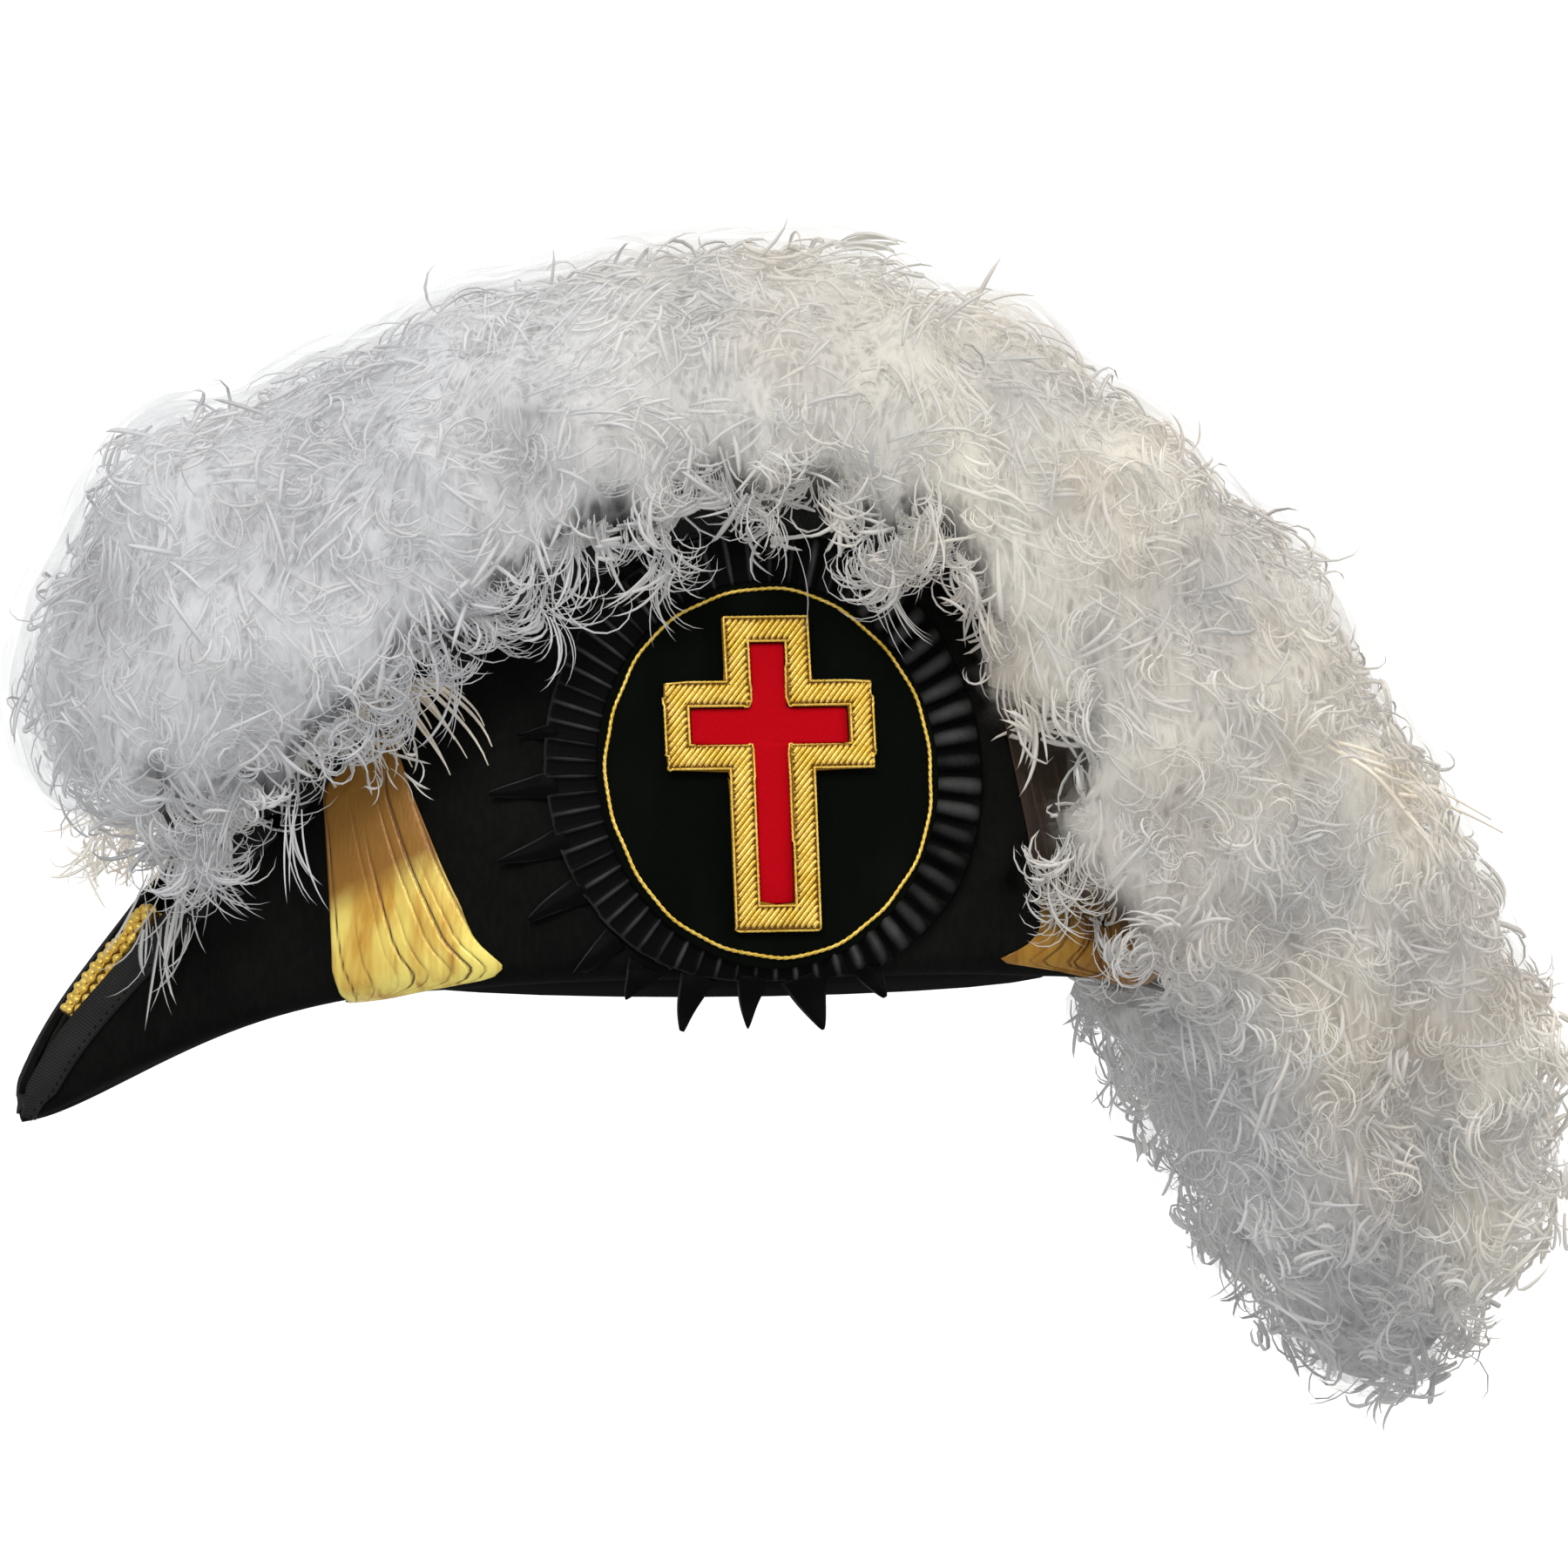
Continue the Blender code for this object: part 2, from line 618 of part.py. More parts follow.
def build_rosette_disc():
    """A padded disc let into the ribbon's middle, with a flange over its inner edge."""
    flange = SKIN_GAP + RIBBON_THICK + GAP
    Profile = namedtuple("Profile", "share inset height")
    profile = (
        Profile(0.120, 0.0, SKIN_GAP),
        Profile(0.550, 0.0, SKIN_GAP),
        Profile(1.000, DISC_SEAT, SKIN_GAP),
        Profile(1.000, DISC_SEAT, flange),
        Profile(1.000, 0.0, flange),
        Profile(1.000, 0.0, DISC_SIDE * DISC_THICK),
        Profile(0.965, 0.0, DISC_THICK),
        Profile(0.550, 0.0, DISC_THICK),
        Profile(0.120, 0.0, DISC_THICK),
    )
    rings = []
    for row in profile:
        ring = []
        for bearing in turn(DISC_SIDES):
            disc = ring_radius(bearing) + DISC_MARGIN
            ring.append(rosette_point(bearing, disc * row.share - row.inset, row.height))
        rings.append(ring)
    piece(loft(rings), "rosette_disc", (VELVET_BLACK, 1.0, 0.0))


def meshed(obj):
    """Take a curve object away and give back its welded shape."""
    bpy.context.view_layer.update()
    graph = bpy.context.evaluated_depsgraph_get()
    mesh = bpy.data.meshes.new_from_object(obj.evaluated_get(graph))
    bm = bmesh.new()
    bm.from_mesh(mesh)
    bmesh.ops.remove_doubles(bm, verts=bm.verts, dist=1e-5)
    curve = obj.data
    bpy.data.objects.remove(obj)
    bpy.data.curves.remove(curve)
    bpy.data.meshes.remove(mesh)
    return bm


def build_rosette_ring():
    """A gold cord laid on the disc, just inside its edge."""
    curve = bpy.data.curves.new("rosette_ring", "CURVE")
    curve.dimensions = "3D"
    curve.bevel_depth = RING_CORD / 2
    curve.bevel_resolution = 0
    spline = curve.splines.new("POLY")
    bearings = turn(RING_SIDES)
    spline.points.add(len(bearings) - 1)
    for point, bearing in zip(spline.points, bearings):
        place = rosette_point(bearing, ring_radius(bearing), DISC_THICK + GAP + RING_CORD / 2)
        point.co = (*place, 1.0)
    spline.use_cyclic_u = True
    obj = bpy.data.objects.new("rosette_ring", curve)
    bpy.data.collections["plumed_hat"].objects.link(obj)
    curve.materials.append(material("rosette_ring", CORD_GOLD, 0.35, 0.8))


def cross_outline(inset):
    """Corners of the cross, drawn in by an inset, from the middle of the rosette."""
    half_bar = CROSS_BAR / 2 - inset
    half_width = CROSS_WIDTH / 2 - inset
    top = CROSS_HEIGHT / 2 - inset
    arm_top = CROSS_HEIGHT / 2 - CROSS_ARM_DROP - inset
    arm_foot = CROSS_HEIGHT / 2 - CROSS_ARM_DROP - CROSS_BAR + inset
    foot = -CROSS_HEIGHT / 2 + inset
    return [
        (-half_bar, top), (half_bar, top), (half_bar, arm_top), (half_width, arm_top),
        (half_width, arm_foot), (half_bar, arm_foot), (half_bar, foot), (-half_bar, foot),
        (-half_bar, arm_foot), (-half_width, arm_foot), (-half_width, arm_top), (-half_bar, arm_top),
    ]


def build_cross_piece(name, outlines, thick, finish):
    """A flat outline, extruded and laid on the disc."""
    curve = bpy.data.curves.new(name, "CURVE")
    curve.dimensions = "2D"
    curve.fill_mode = "BOTH"
    curve.extrude = thick / 2
    for outline in outlines:
        spline = curve.splines.new("POLY")
        spline.points.add(len(outline) - 1)
        for point, (x, y) in zip(spline.points, outline):
            point.co = (x, y, 0.0, 1.0)
        spline.use_cyclic_u = True
    guide = bpy.data.objects.new(name + "_outline", curve)
    bpy.data.collections["cutters"].objects.link(guide)
    bm = meshed(guide)
    for axis, half in ((Vector((1, 0, 0)), CROSS_WIDTH / 2), (Vector((0, 1, 0)), CROSS_HEIGHT / 2)):
        steps = int(half / CROSS_STEP)
        for i in range(-steps, steps + 1):
            parts = bm.verts[:] + bm.edges[:] + bm.faces[:]
            place = axis * (i + 0.5) * CROSS_STEP
            bmesh.ops.bisect_plane(bm, geom=parts, plane_co=place, plane_no=axis, dist=1e-6)
    for vert in bm.verts:
        height = DISC_THICK + GAP + thick / 2 + vert.co.z
        vert.co = on_fan(ROSETTE_X + vert.co.x, ROSETTE_Z + vert.co.y, height)
    bmesh.ops.recalc_face_normals(bm, faces=bm.faces)
    piece(bm, name, finish, smooth=False)


def build_cross():
    """The bullion border and the red field inside it."""
    border = [cross_outline(0.0), cross_outline(CROSS_BORDER)]
    build_cross_piece("cross_border", border, BORDER_THICK, (BULLION_GOLD, 0.35, 0.8))
    field = [cross_outline(CROSS_BORDER + GAP)]
    build_cross_piece("cross_field", field, FIELD_THICK, (CROSS_RED, 0.85, 0.0))


def tassel_room(place):
    """Half the room between the bindings' inner legs, at a place in the hat's middle plane."""
    face = on_fan(place.x, place.z, 0.0)
    out = on_fan(place.x, place.z, 1.0) - face
    return -face.y + (FELT + SKIN_GAP + BINDING_THICK + 3 * GAP) / out.y


def build_tassel():
    """A bullion tassel that hangs in the front beak and is held between the fans."""
    head_x = place_of(TASSEL_HEAD)
    foot_x = place_of(TASSEL_FOOT)
    head = Vector((head_x, 0.0, section(head_x).edge - TASSEL_HEAD_SINK * TASSEL_THICK))
    foot = Vector((foot_x, 0.0, section(foot_x).edge - TASSEL_FOOT_SINK * TASSEL_THICK))
    run = foot - head
    up = Vector((-run.z, 0.0, run.x)).normalized()
    rings = []
    for row in TASSEL:
        middle = head + run * row.along
        room = tassel_room(middle)
        ring = []
        for i in range(TASSEL_SIDES):
            angle = 2 * math.pi * i / TASSEL_SIDES
            ridge = 1.0 if i % 2 == 0 else TASSEL_GROOVE
            side = Vector((0.0, room * row.wide * math.cos(angle), 0.0))
            ring.append(middle + side + up * (TASSEL_THICK / 2 * row.thick * ridge * math.sin(angle)))
        rings.append(ring)
    piece(loft(rings), "tassel_front", (BULLION_GOLD, 0.35, 0.8))


class PlumeRun:
    """The plume's middle line in the hat's middle plane, with its section at each place."""

    def __init__(self):
        xs = [row.along * (FRONT_REACH if row.along < 0 else REAR_REACH) for row in PLUME]
        zs = [row.rise * (FAN_HEIGHT if row.rise > 0 else TAIL_DROP) for row in PLUME]
        steps = np.hypot(np.diff(xs), np.diff(zs))
        places = np.concatenate(([0.0], np.cumsum(steps)))
        self.places = places
        self.length = float(places[-1])
        self.x = Curve(places, xs)
        self.z = Curve(places, zs)
        self.tall = Curve(places, [row.tall * PLUME_DEPTH / 2 for row in PLUME])
        self.hang = Curve(places, [row.hang * PLUME_DEPTH / 2 for row in PLUME])
        self.wide = Curve(places, [row.wide * PLUME_WIDTH / 2 for row in PLUME])

    def middle(self, place):
        return Vector((self.x(place), 0.0, self.z(place)))

    def along(self, place):
        place = min(max(place, STEP), self.length - STEP)
        return (self.middle(place + STEP) - self.middle(place - STEP)).normalized()

    def point(self, place, angle, share):
        """A point round the section. The angle is 0 at the plume's back and grows to the right."""
        ahead = self.along(place)
        back = Vector((-ahead.z, 0.0, ahead.x))
        depth = self.tall if math.cos(angle) > 0 else self.hang
        reach = back * depth(place) * math.cos(angle)
        side = Vector((0.0, self.wide(place) * math.sin(angle), 0.0))
        return self.middle(place) + (reach + side) * share


def lock_bmesh(run, place, side, tier):
    """One lock: a flat tapered body that leaves the back of the plume and falls over its side."""
    rings = []
    for row in LOCK:
        at = min(max(place + tier.sweep * row.along, STEP), run.length - STEP)
        angle = side * math.radians(tier.start + (tier.end - tier.start) * row.along)
        middle = run.point(at, angle, row.lift)
        out = (run.point(at, angle, 1.0) - run.middle(at)).normalized()
        fall = run.point(at, angle + 0.02 * side, row.lift) - middle
        across = fall.cross(out).normalized() * (LOCK_WIDTH / 2 * row.width)
        lift = out * (LOCK_THICK / 2 * row.width)
        rings.append([middle + across, middle + lift, middle - across, middle - lift])
    return loft(rings)


def nearest(run, point):
    """The place on the plume's run that lies nearest to a point, seen from the side."""
    places = [run.length * i / PLUME_STEPS for i in range(PLUME_STEPS + 1)]
    return min(places, key=lambda place: (run.middle(place) - point).xz.length)


def drape_bmesh(run, side, drape):
    """One lock that leaves the plume's side and falls over a fan's outer face."""
    tip = on_fan(place_of(drape.reach), drape.level * FAN_HEIGHT, DRAPE_HEIGHT)
    tip.y *= -side
    at = nearest(run, tip)
    root = run.point(at, side * math.radians(DRAPE_ROOT), BACKING)
    shoulder = run.point(at, side * math.radians(DRAPE_SHOULDER), DRAPE_SWELL)
    rings = []
    for row in LOCK:
        t = row.along
        middle = root * (1 - t) ** 2 + shoulder * 2 * t * (1 - t) + tip * t**2
        ahead = ((shoulder - root) * (1 - t) + (tip - shoulder) * t).normalized()
        out = Vector((0.0, side, DRAPE_LEAN))
        out = (out - ahead * out.dot(ahead)).normalized()
        across = ahead.cross(out) * (LOCK_WIDTH / 2 * row.width)
        lift = out * (LOCK_THICK / 2 * row.width)
        rings.append([middle + across, middle + lift, middle - across, middle - lift])
    return loft(rings)


def hat_envelope():
    """The hat's outer shape with its trim and a clearance, closed over just below the fans' edges."""
    rings = []
    for x in stations():
        edge, out, off = edge_frame(x)
        cut = section(x)
        dip = min(PLUME_DIP, PLUME_DIP_SHARE * WALL(x))
        room = max(cut.top - FELT - 2 * TRIM_HEIGHT, GAP)
        half = [felt_offset(x, row, TRIM_HEIGHT) for row in ENVELOPE_ROWS]
        half.append(edge + (out + off) * TRIM_HEIGHT)
        half.append(Vector((x, -room, cut.edge + TRIM_HEIGHT)))
        half.append(Vector((x, -room, cut.edge - dip)))
        other = [Vector((p.x, -p.y, p.z)) for p in reversed(half)]
        rings.append(half + other)
    past = Vector((TRIM_HEIGHT, 0.0, 0.0))
    first = [point - past for point in rings[0]]
    last = [point + past for point in rings[-1]]
    return loft([first] + rings + [last])


def rosette_envelope():
    """A thick plate over the rosette, out to its points."""
    rings = []
    for height in (-TRIM_HEIGHT, DISC_THICK + RING_CORD + BORDER_THICK):
        ring = []
        for bearing in turn(2 * RIBBON_POINTS):
            ring.append(rosette_point(bearing, ribbon_reach(bearing)[1] + 4 * GAP, height))
        rings.append(ring)
    return loft(rings)


def largest_body(bm):
    """Keep the largest connected body of a bmesh."""
    left = set(bm.verts)
    bodies = []
    while left:
        todo = [left.pop()]
        body = set(todo)
        while todo:
            for edge in todo.pop().link_edges:
                for vert in edge.verts:
                    if vert in left:
                        left.discard(vert)
                        body.add(vert)
                        todo.append(vert)
        bodies.append(body)
    keep = max(bodies, key=len)
    bmesh.ops.delete(bm, geom=[v for v in bm.verts if v not in keep], context="VERTS")


def build_plume():
    """The backing and its locks fused into one body, cut to lie over the hat and the rosette."""
    run = PlumeRun()
    rings = []
    for place in run.places:
        angles = [2 * math.pi * i / PLUME_SIDES for i in range(PLUME_SIDES)]
        rings.append([run.point(place, angle, BACKING) for angle in angles])
    bodies = [loft(rings)]
    for tier in TIERS:
        for side in (-1, 1):
            for i in range(tier.count):
                step = i + STAGGER * (side + 1) / 2
                share = tier.first + (tier.last - tier.first) * step / tier.count
                bodies.append(lock_bmesh(run, share * run.length, side, tier))
    for drape in DRAPES:
        for side in (-1, 1):
            bodies.append(drape_bmesh(run, side, drape))
    heap = bmesh.new()
    for body in bodies:
        mesh = bpy.data.meshes.new("plume_body")
        body.to_mesh(mesh)
        body.free()
        heap.from_mesh(mesh)
        bpy.data.meshes.remove(mesh)
    raw = cutter(heap, "plume_heap")

    fuse = raw.modifiers.new("fuse", "REMESH")
    fuse.mode = "VOXEL"
    fuse.voxel_size = PLUME_GRAIN
    thin = raw.modifiers.new("thin", "DECIMATE")
    thin.ratio = PLUME_FINENESS
    for tool in (cutter(hat_envelope(), "hat_envelope"), cutter(rosette_envelope(), "rosette_envelope")):
        cut = raw.modifiers.new(tool.name, "BOOLEAN")
        cut.operation = "DIFFERENCE"
        cut.solver = "EXACT"
        cut.object = tool
    bpy.context.view_layer.update()
    graph = bpy.context.evaluated_depsgraph_get()
    bm = bmesh.new()
    bm.from_object(raw, graph)
    mesh = raw.data
    bpy.data.objects.remove(raw)
    bpy.data.meshes.remove(mesh)
    largest_body(bm)
    piece(bm, "plume", (PLUME_WHITE, 0.9, 0.0), smooth=False)


def main():
    for obj in list(bpy.data.objects):
        bpy.data.objects.remove(obj)
    collection("plumed_hat")
    collection("cutters")
    build_crown()
    build_brim()
    build_binding("binding_left", -1)
    build_binding("binding_right", 1)
    build_lace("lace_front_left", FRONT_LACE, -1, -1)
    build_lace("lace_rear_left", REAR_LACE, 1, -1)
    build_lace("lace_front_right", FRONT_LACE, -1, 1)
    build_lace("lace_rear_right", REAR_LACE, 1, 1)
    build_rosette_ribbon()
    build_rosette_disc()
    build_rosette_ring()
    build_cross()
    build_tassel()
    build_plume()


main()
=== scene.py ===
"""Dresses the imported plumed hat: felt, gold lace, rosette badge, tassel and curled plume.

The file is laid out as a Blender add-on. Lengths are metres in the hat's own frame: the front beak
points to -X, the badge faces -Y and +Z is up.
"""

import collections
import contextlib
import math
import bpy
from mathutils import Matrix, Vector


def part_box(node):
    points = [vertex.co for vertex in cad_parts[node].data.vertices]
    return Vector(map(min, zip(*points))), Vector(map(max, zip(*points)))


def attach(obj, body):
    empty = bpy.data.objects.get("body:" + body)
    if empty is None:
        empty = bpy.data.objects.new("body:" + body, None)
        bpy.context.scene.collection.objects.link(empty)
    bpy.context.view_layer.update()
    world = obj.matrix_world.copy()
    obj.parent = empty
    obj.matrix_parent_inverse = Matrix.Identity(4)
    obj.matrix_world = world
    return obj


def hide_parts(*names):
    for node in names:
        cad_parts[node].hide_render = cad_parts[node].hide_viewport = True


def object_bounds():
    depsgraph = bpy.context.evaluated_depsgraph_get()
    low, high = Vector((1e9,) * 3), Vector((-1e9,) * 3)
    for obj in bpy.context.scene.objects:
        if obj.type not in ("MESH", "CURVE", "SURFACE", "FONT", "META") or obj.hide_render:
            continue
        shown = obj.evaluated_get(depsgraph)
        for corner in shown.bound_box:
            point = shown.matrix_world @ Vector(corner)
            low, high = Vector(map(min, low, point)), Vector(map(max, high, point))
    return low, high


bl_info = {
    "name": "Plumed Hat",
    "version": (1, 0, 0),
    "blender": (4, 5, 0),
    "location": "3D View > Sidebar > Hat",
    "description": "Felt, gold lace, rosette badge and curled plume round the hat's frame",
    "category": "Object",
}

import bmesh
import bpy
import numpy as np
from mathutils import Matrix, Vector, noise
from mathutils.bvhtree import BVHTree

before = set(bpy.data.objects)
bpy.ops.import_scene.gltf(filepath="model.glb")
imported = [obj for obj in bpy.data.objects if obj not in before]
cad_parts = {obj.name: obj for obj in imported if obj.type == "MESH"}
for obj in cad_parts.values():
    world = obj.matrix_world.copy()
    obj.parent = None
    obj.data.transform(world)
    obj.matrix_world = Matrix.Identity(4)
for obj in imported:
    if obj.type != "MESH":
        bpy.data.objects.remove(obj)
CAD_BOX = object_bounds()
MM = 0.001

# Lowest and highest corners of CAD pieces, and the badge's middle
RING_LOW, RING_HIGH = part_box("rosette_ring")
BORDER_LOW, BORDER_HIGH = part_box("cross_border")
TASSEL_LOW, TASSEL_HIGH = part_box("tassel_front")
BRIM_LOW, BRIM_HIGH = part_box("brim")
ROSETTE_X = (RING_LOW.x + RING_HIGH.x) / 2
ROSETTE_Z = (RING_LOW.z + RING_HIGH.z) / 2

# The wearer's left and right as signs of Y, and the way that the badge faces
LEFT = -1
RIGHT = 1
LEFTWARDS = (0, -1, 0)

# Farther from the hat's middle plane than any of its pieces
OUTSIDE = 0.2
FELT_WALL = 2.3 * MM
PLEAT_WALL = 0.5 * MM

# Points nearer to each other than this are one point of a seam
SEAM = 0.001 * MM


def colour(name, default, description):
    """A colour that a user may change."""
    return bpy.props.FloatVectorProperty(
        name=name, description=description, default=default, subtype="COLOR", size=3, min=0.0, max=1.0
    )


def length(name, default, description):
    """A length in metres that a user may change."""
    return bpy.props.FloatProperty(
        name=name, description=description, default=default, min=0.0, precision=5, unit="LENGTH"
    )


def share(name, default, description):
    """A share from 0 to 1 that a user may change."""
    return bpy.props.FloatProperty(
        name=name, description=description, default=default, min=0.0, max=1.0, subtype="FACTOR"
    )


def angle(name, default, description):
    """An angle, given in degrees and kept in radians."""
    return bpy.props.FloatProperty(
        name=name, description=description, default=math.radians(default), subtype="ANGLE"
    )


def count(name, default, description):
    """A whole number that a user may change."""
    return bpy.props.IntProperty(name=name, description=description, default=default, min=1)


class HatClothSettings(bpy.types.PropertyGroup):
    """Black felt and its ribbon binding"""

    felt: colour("Felt", (0.0040, 0.0040, 0.0037), "Colour of the fur felt")
    felt_worn: colour("Worn felt", (0.0085, 0.0083, 0.0076), "Colour of the felt's rubbed nap")
    ribbon: colour("Ribbon", (0.0125, 0.0125, 0.0120), "Colour of the binding ribbon")
    rib: length("Ribbon rib", 0.0009, "Spacing of the ribbon's ribs")
    stitch: length("Stitch spacing", 0.0026, "Distance between the binding's stitches")
    binding: length("Binding width", 0.0080, "Width of the binding below the fan's edge")


class HatGoldSettings(bpy.types.PropertyGroup):
    """Gold lace, gold wire and the tassel"""

    lace_shade: colour("Lace shade", (0.29, 0.128, 0.012), "Colour of the lace's aged upper part")
    wire: colour("Wire", (0.74, 0.47, 0.050), "Colour of the coiled gold wire")
    wire_gap: colour("Wire gap", (0.12, 0.045, 0.004), "Colour in the gaps between the wires")
    creases: count("Lace creases", 9, "Lengthwise creases across a lace band")
    crease_depth: length("Crease depth", 0.0008, "Depth of the lace's creases")
    wire_spacing: length("Wire spacing", 0.00135, "Distance between the cross's slanted wires")


class HatRosetteSettings(bpy.types.PropertyGroup):
    """Pleated ribbon, velvet disc and cross"""

    ribbon: colour("Pleated ribbon", (0.0150, 0.0150, 0.0150), "Colour of the pleated ribbon")
    velvet: colour("Velvet", (0.0018, 0.0025, 0.0018), "Colour of the disc's velvet")
    red: colour("Red cloth", (0.53, 0.0008, 0.0070), "Colour of the cross's cloth")
    pleats: count("Pleats", 62, "Knife pleats round the rosette")
    pleat_height: length("Pleat height", 0.0024, "Height of a pleat's fold")
    frill: length("Frill width", 0.0125, "Width of the pleated frill outside the disc")
    cord: length("Ring cord", 0.0010, "Thickness of the gold cord round the disc")


class HatPlumeSettings(bpy.types.PropertyGroup):
    """Curled ostrich plume"""

    cool: colour("Cool white", (0.58, 0.585, 0.595), "Colour of the plume at its front")
    warm: colour("Warm white", (0.65, 0.625, 0.56), "Colour of the plume at its rear")
    tan: colour("Tan", (0.50, 0.43, 0.34), "Colour of the browner down at the rear")
    # hollow is the colour of painted shade, deep between the flues and towards their roots.
    hollow: colour("Hollow", (0.33, 0.33, 0.34), "Colour deep between the flues")
    quill: colour("Quill", (0.80, 0.70, 0.52), "Colour of the bare fibres")
    # glow feeds emission, a painted light that lifts the plume's shade in place of light passed on
    # through the flues.
    glow: share("Glow", 0.34, "Light passed on through the flues, as a share of their colour")
    flues: count("Flues", 8000, "Soft flues over the whole plume")
    curls: count("Curls", 5000, "Tightly curled flues, most of them low on the near side")
    fringe: count("Fringe", 2100, "Longer flues along the lower edge")
    long: length("Longest flue", 0.027, "Length of the longest flue")
    short: length("Shortest flue", 0.012, "Length of the shortest flue")
    width: length("Flue width", 0.0016, "Width of a flue at its middle")
    seed: count("Seed", 7, "Start of the random numbers")


class HatStageSettings(bpy.types.PropertyGroup):
    """Floor, lights and camera"""

    azimuth: angle("Azimuth", -12.0, "Turn of the camera round the hat")
    elevation: angle("Elevation", 4.0, "Height of the camera above the horizon")
    distance: length("Distance", 4.0, "Distance of the camera")
    view: length("View width", 0.450, "Width of the picture at the hat")
    floor: colour("Floor", (0.94, 0.94, 0.93), "Colour of the floor")
    drop: length("Floor drop", 0.16, "Height of the hat's tail above the floor")


class Value:
    """A socket of a node tree, so that shader maths is written as an expression."""

    def __init__(self, finish, socket):
        self.finish = finish
        self.socket = socket

    def maths(self, operation, *others):
        """This value and others through a maths node."""
        return self.finish.node("Math", {"operation": operation}, self, *others)["Value"]

    def __add__(self, other):
        return self.maths("ADD", other)

    __radd__ = __add__

    def __mul__(self, other):
        return self.maths("MULTIPLY", other)

    __rmul__ = __mul__

    def __sub__(self, other):
        return self.maths("SUBTRACT", other)

    def __rsub__(self, other):
        return self.finish.node("Math", {"operation": "SUBTRACT"}, other, self)["Value"]

    def size(self):
        """The value without its sign."""
        return self.maths("ABSOLUTE")

    def clipped(self, low, high):
        """The value's place between low and high, kept from 0 to 1."""
        return self.finish.node("MapRange", {}, self, low, high)["Result"]


class Sockets:
    """A node's outputs by name."""

    def __init__(self, finish, made):
        self.finish = finish
        self.made = made

    def __getitem__(self, name):
        for socket in self.made.outputs:
            if name in (socket.identifier, socket.name) and socket.enabled:
                return Value(self.finish, socket)
        raise KeyError(name)


class Finish:
    """One material with a Principled shader, and the nodes that vary it."""

    def __init__(self, name, **uniform):
        self.material = bpy.data.materials.new(name)
        self.material.use_nodes = True
        self.tree = self.material.node_tree
        self.shader = self.tree.nodes["Principled BSDF"]
        self.set(**uniform)

    def feed(self, socket, value):
        """Links a value to a socket, or sets the socket to a number or colour."""
        if isinstance(value, Value):
            self.tree.links.new(value.socket, socket)
        elif socket.type == "RGBA":
            socket.default_value = (*value, 1.0)
        else:
            socket.default_value = value

    def node(self, kind, settings, *values, **named):
        """A new node: its settings first, then its sockets in order and by name."""
        made = self.tree.nodes.new("ShaderNode" + kind)
        for key, value in settings.items():
            setattr(made, key, value)
        for socket, value in zip(made.inputs, values):
            if kind == "MapRange" or socket.enabled:
                self.feed(socket, value)
        for key, value in named.items():
            named_so = (s for s in made.inputs if key in (s.identifier, s.name.replace(" ", "_")))
            self.feed(next(s for s in named_so if s.enabled), value)
        return Sockets(self, made)

    def place(self):
        """The object's own coordinates."""
        return self.node("TexCoord", {})["Object"]

    def attribute(self, name):
        """A number marked on the mesh's points."""
        return self.node("Attribute", {"attribute_name": name})["Fac"]

    def scaled(self, x, y, z):
        """The object's own coordinates, stretched."""
        return self.node("Mapping", {}, self.place(), Scale=(x, y, z))["Vector"]

    def noise(self, scale, detail=4.0, vector=None):
        """Soft noise. Its scale is in waves to the metre."""
        named = {"Vector": vector or self.place(), "Scale": scale, "Detail": detail, "Roughness": 0.55}
        return self.node("TexNoise", {}, **named)["Fac"]

    def threads(self, scale, thin, turn):
        """1 on long curling lines and 0 between them. turn sets the way that they lie."""
        turned = {"Location": (turn, turn, turn), "Rotation": (0.4 * turn, turn, 0.0)}
        vector = self.node("Mapping", {}, self.place(), Scale=(1.0, 1.0, 0.32), **turned)["Vector"]
        named = {"Vector": vector, "Scale": scale, "Detail": 1.5, "Distortion": 0.7}
        ridge = 1.0 - (self.node("TexNoise", {}, **named)["Fac"] * 2.0 - 1.0).size()
        return ridge.clipped(1.0 - thin, 1.0 - thin / 4)

    def blend(self, factor, first, second):
        """A colour between two."""
        settings = {"data_type": "RGBA"}
        named = {"Factor_Float": factor, "A_Color": first, "B_Color": second}
        return self.node("Mix", settings, **named)["Result_Color"]

    def bump(self, height, depth, strength=1.0):
        """A normal from heights of 0 to 1 and the depth of their relief in metres."""
        named = {"Height": height, "Distance": depth, "Strength": strength}
        return self.node("Bump", {}, **named)["Normal"]

    def set(self, **sockets):
        """Feeds the Principled shader's sockets, by their names with underscores."""
        for key, value in sockets.items():
            self.feed(self.shader.inputs[key.replace("_", " ")], value)


def toned(tone, light):
    """A colour made lighter or darker."""
    return tuple(light * part for part in tone)


def mottled(name, tones, scale, detail=4.0, **uniform):
    """A plain finish whose colour wanders between two tones."""
    finish = Finish(name, **uniform)
    finish.set(Base_Color=finish.blend(finish.noise(scale, detail), *tones))
    return finish.material


def felt_finish(settings):
    """Black fur felt: a short nap, cloudy with wear."""
    finish = Finish("black_felt", Specular_IOR_Level=0.05)
    clouds = finish.noise(28.0, 3.0)
    nap = finish.noise(1900.0, 3.0)
    fibres = finish.noise(620.0, 4.0, finish.scaled(1.0, 1.0, 0.35))
    worn = (clouds * 0.75 + fibres * 0.55).clipped(0.55, 0.95)
    finish.set(
        Base_Color=finish.blend(worn, settings.felt, settings.felt_worn),
        Roughness=0.86 + 0.10 * nap,
        Normal=finish.bump(nap * 0.6 + fibres * 0.6, 0.0004, 0.7),
    )
    return finish.material


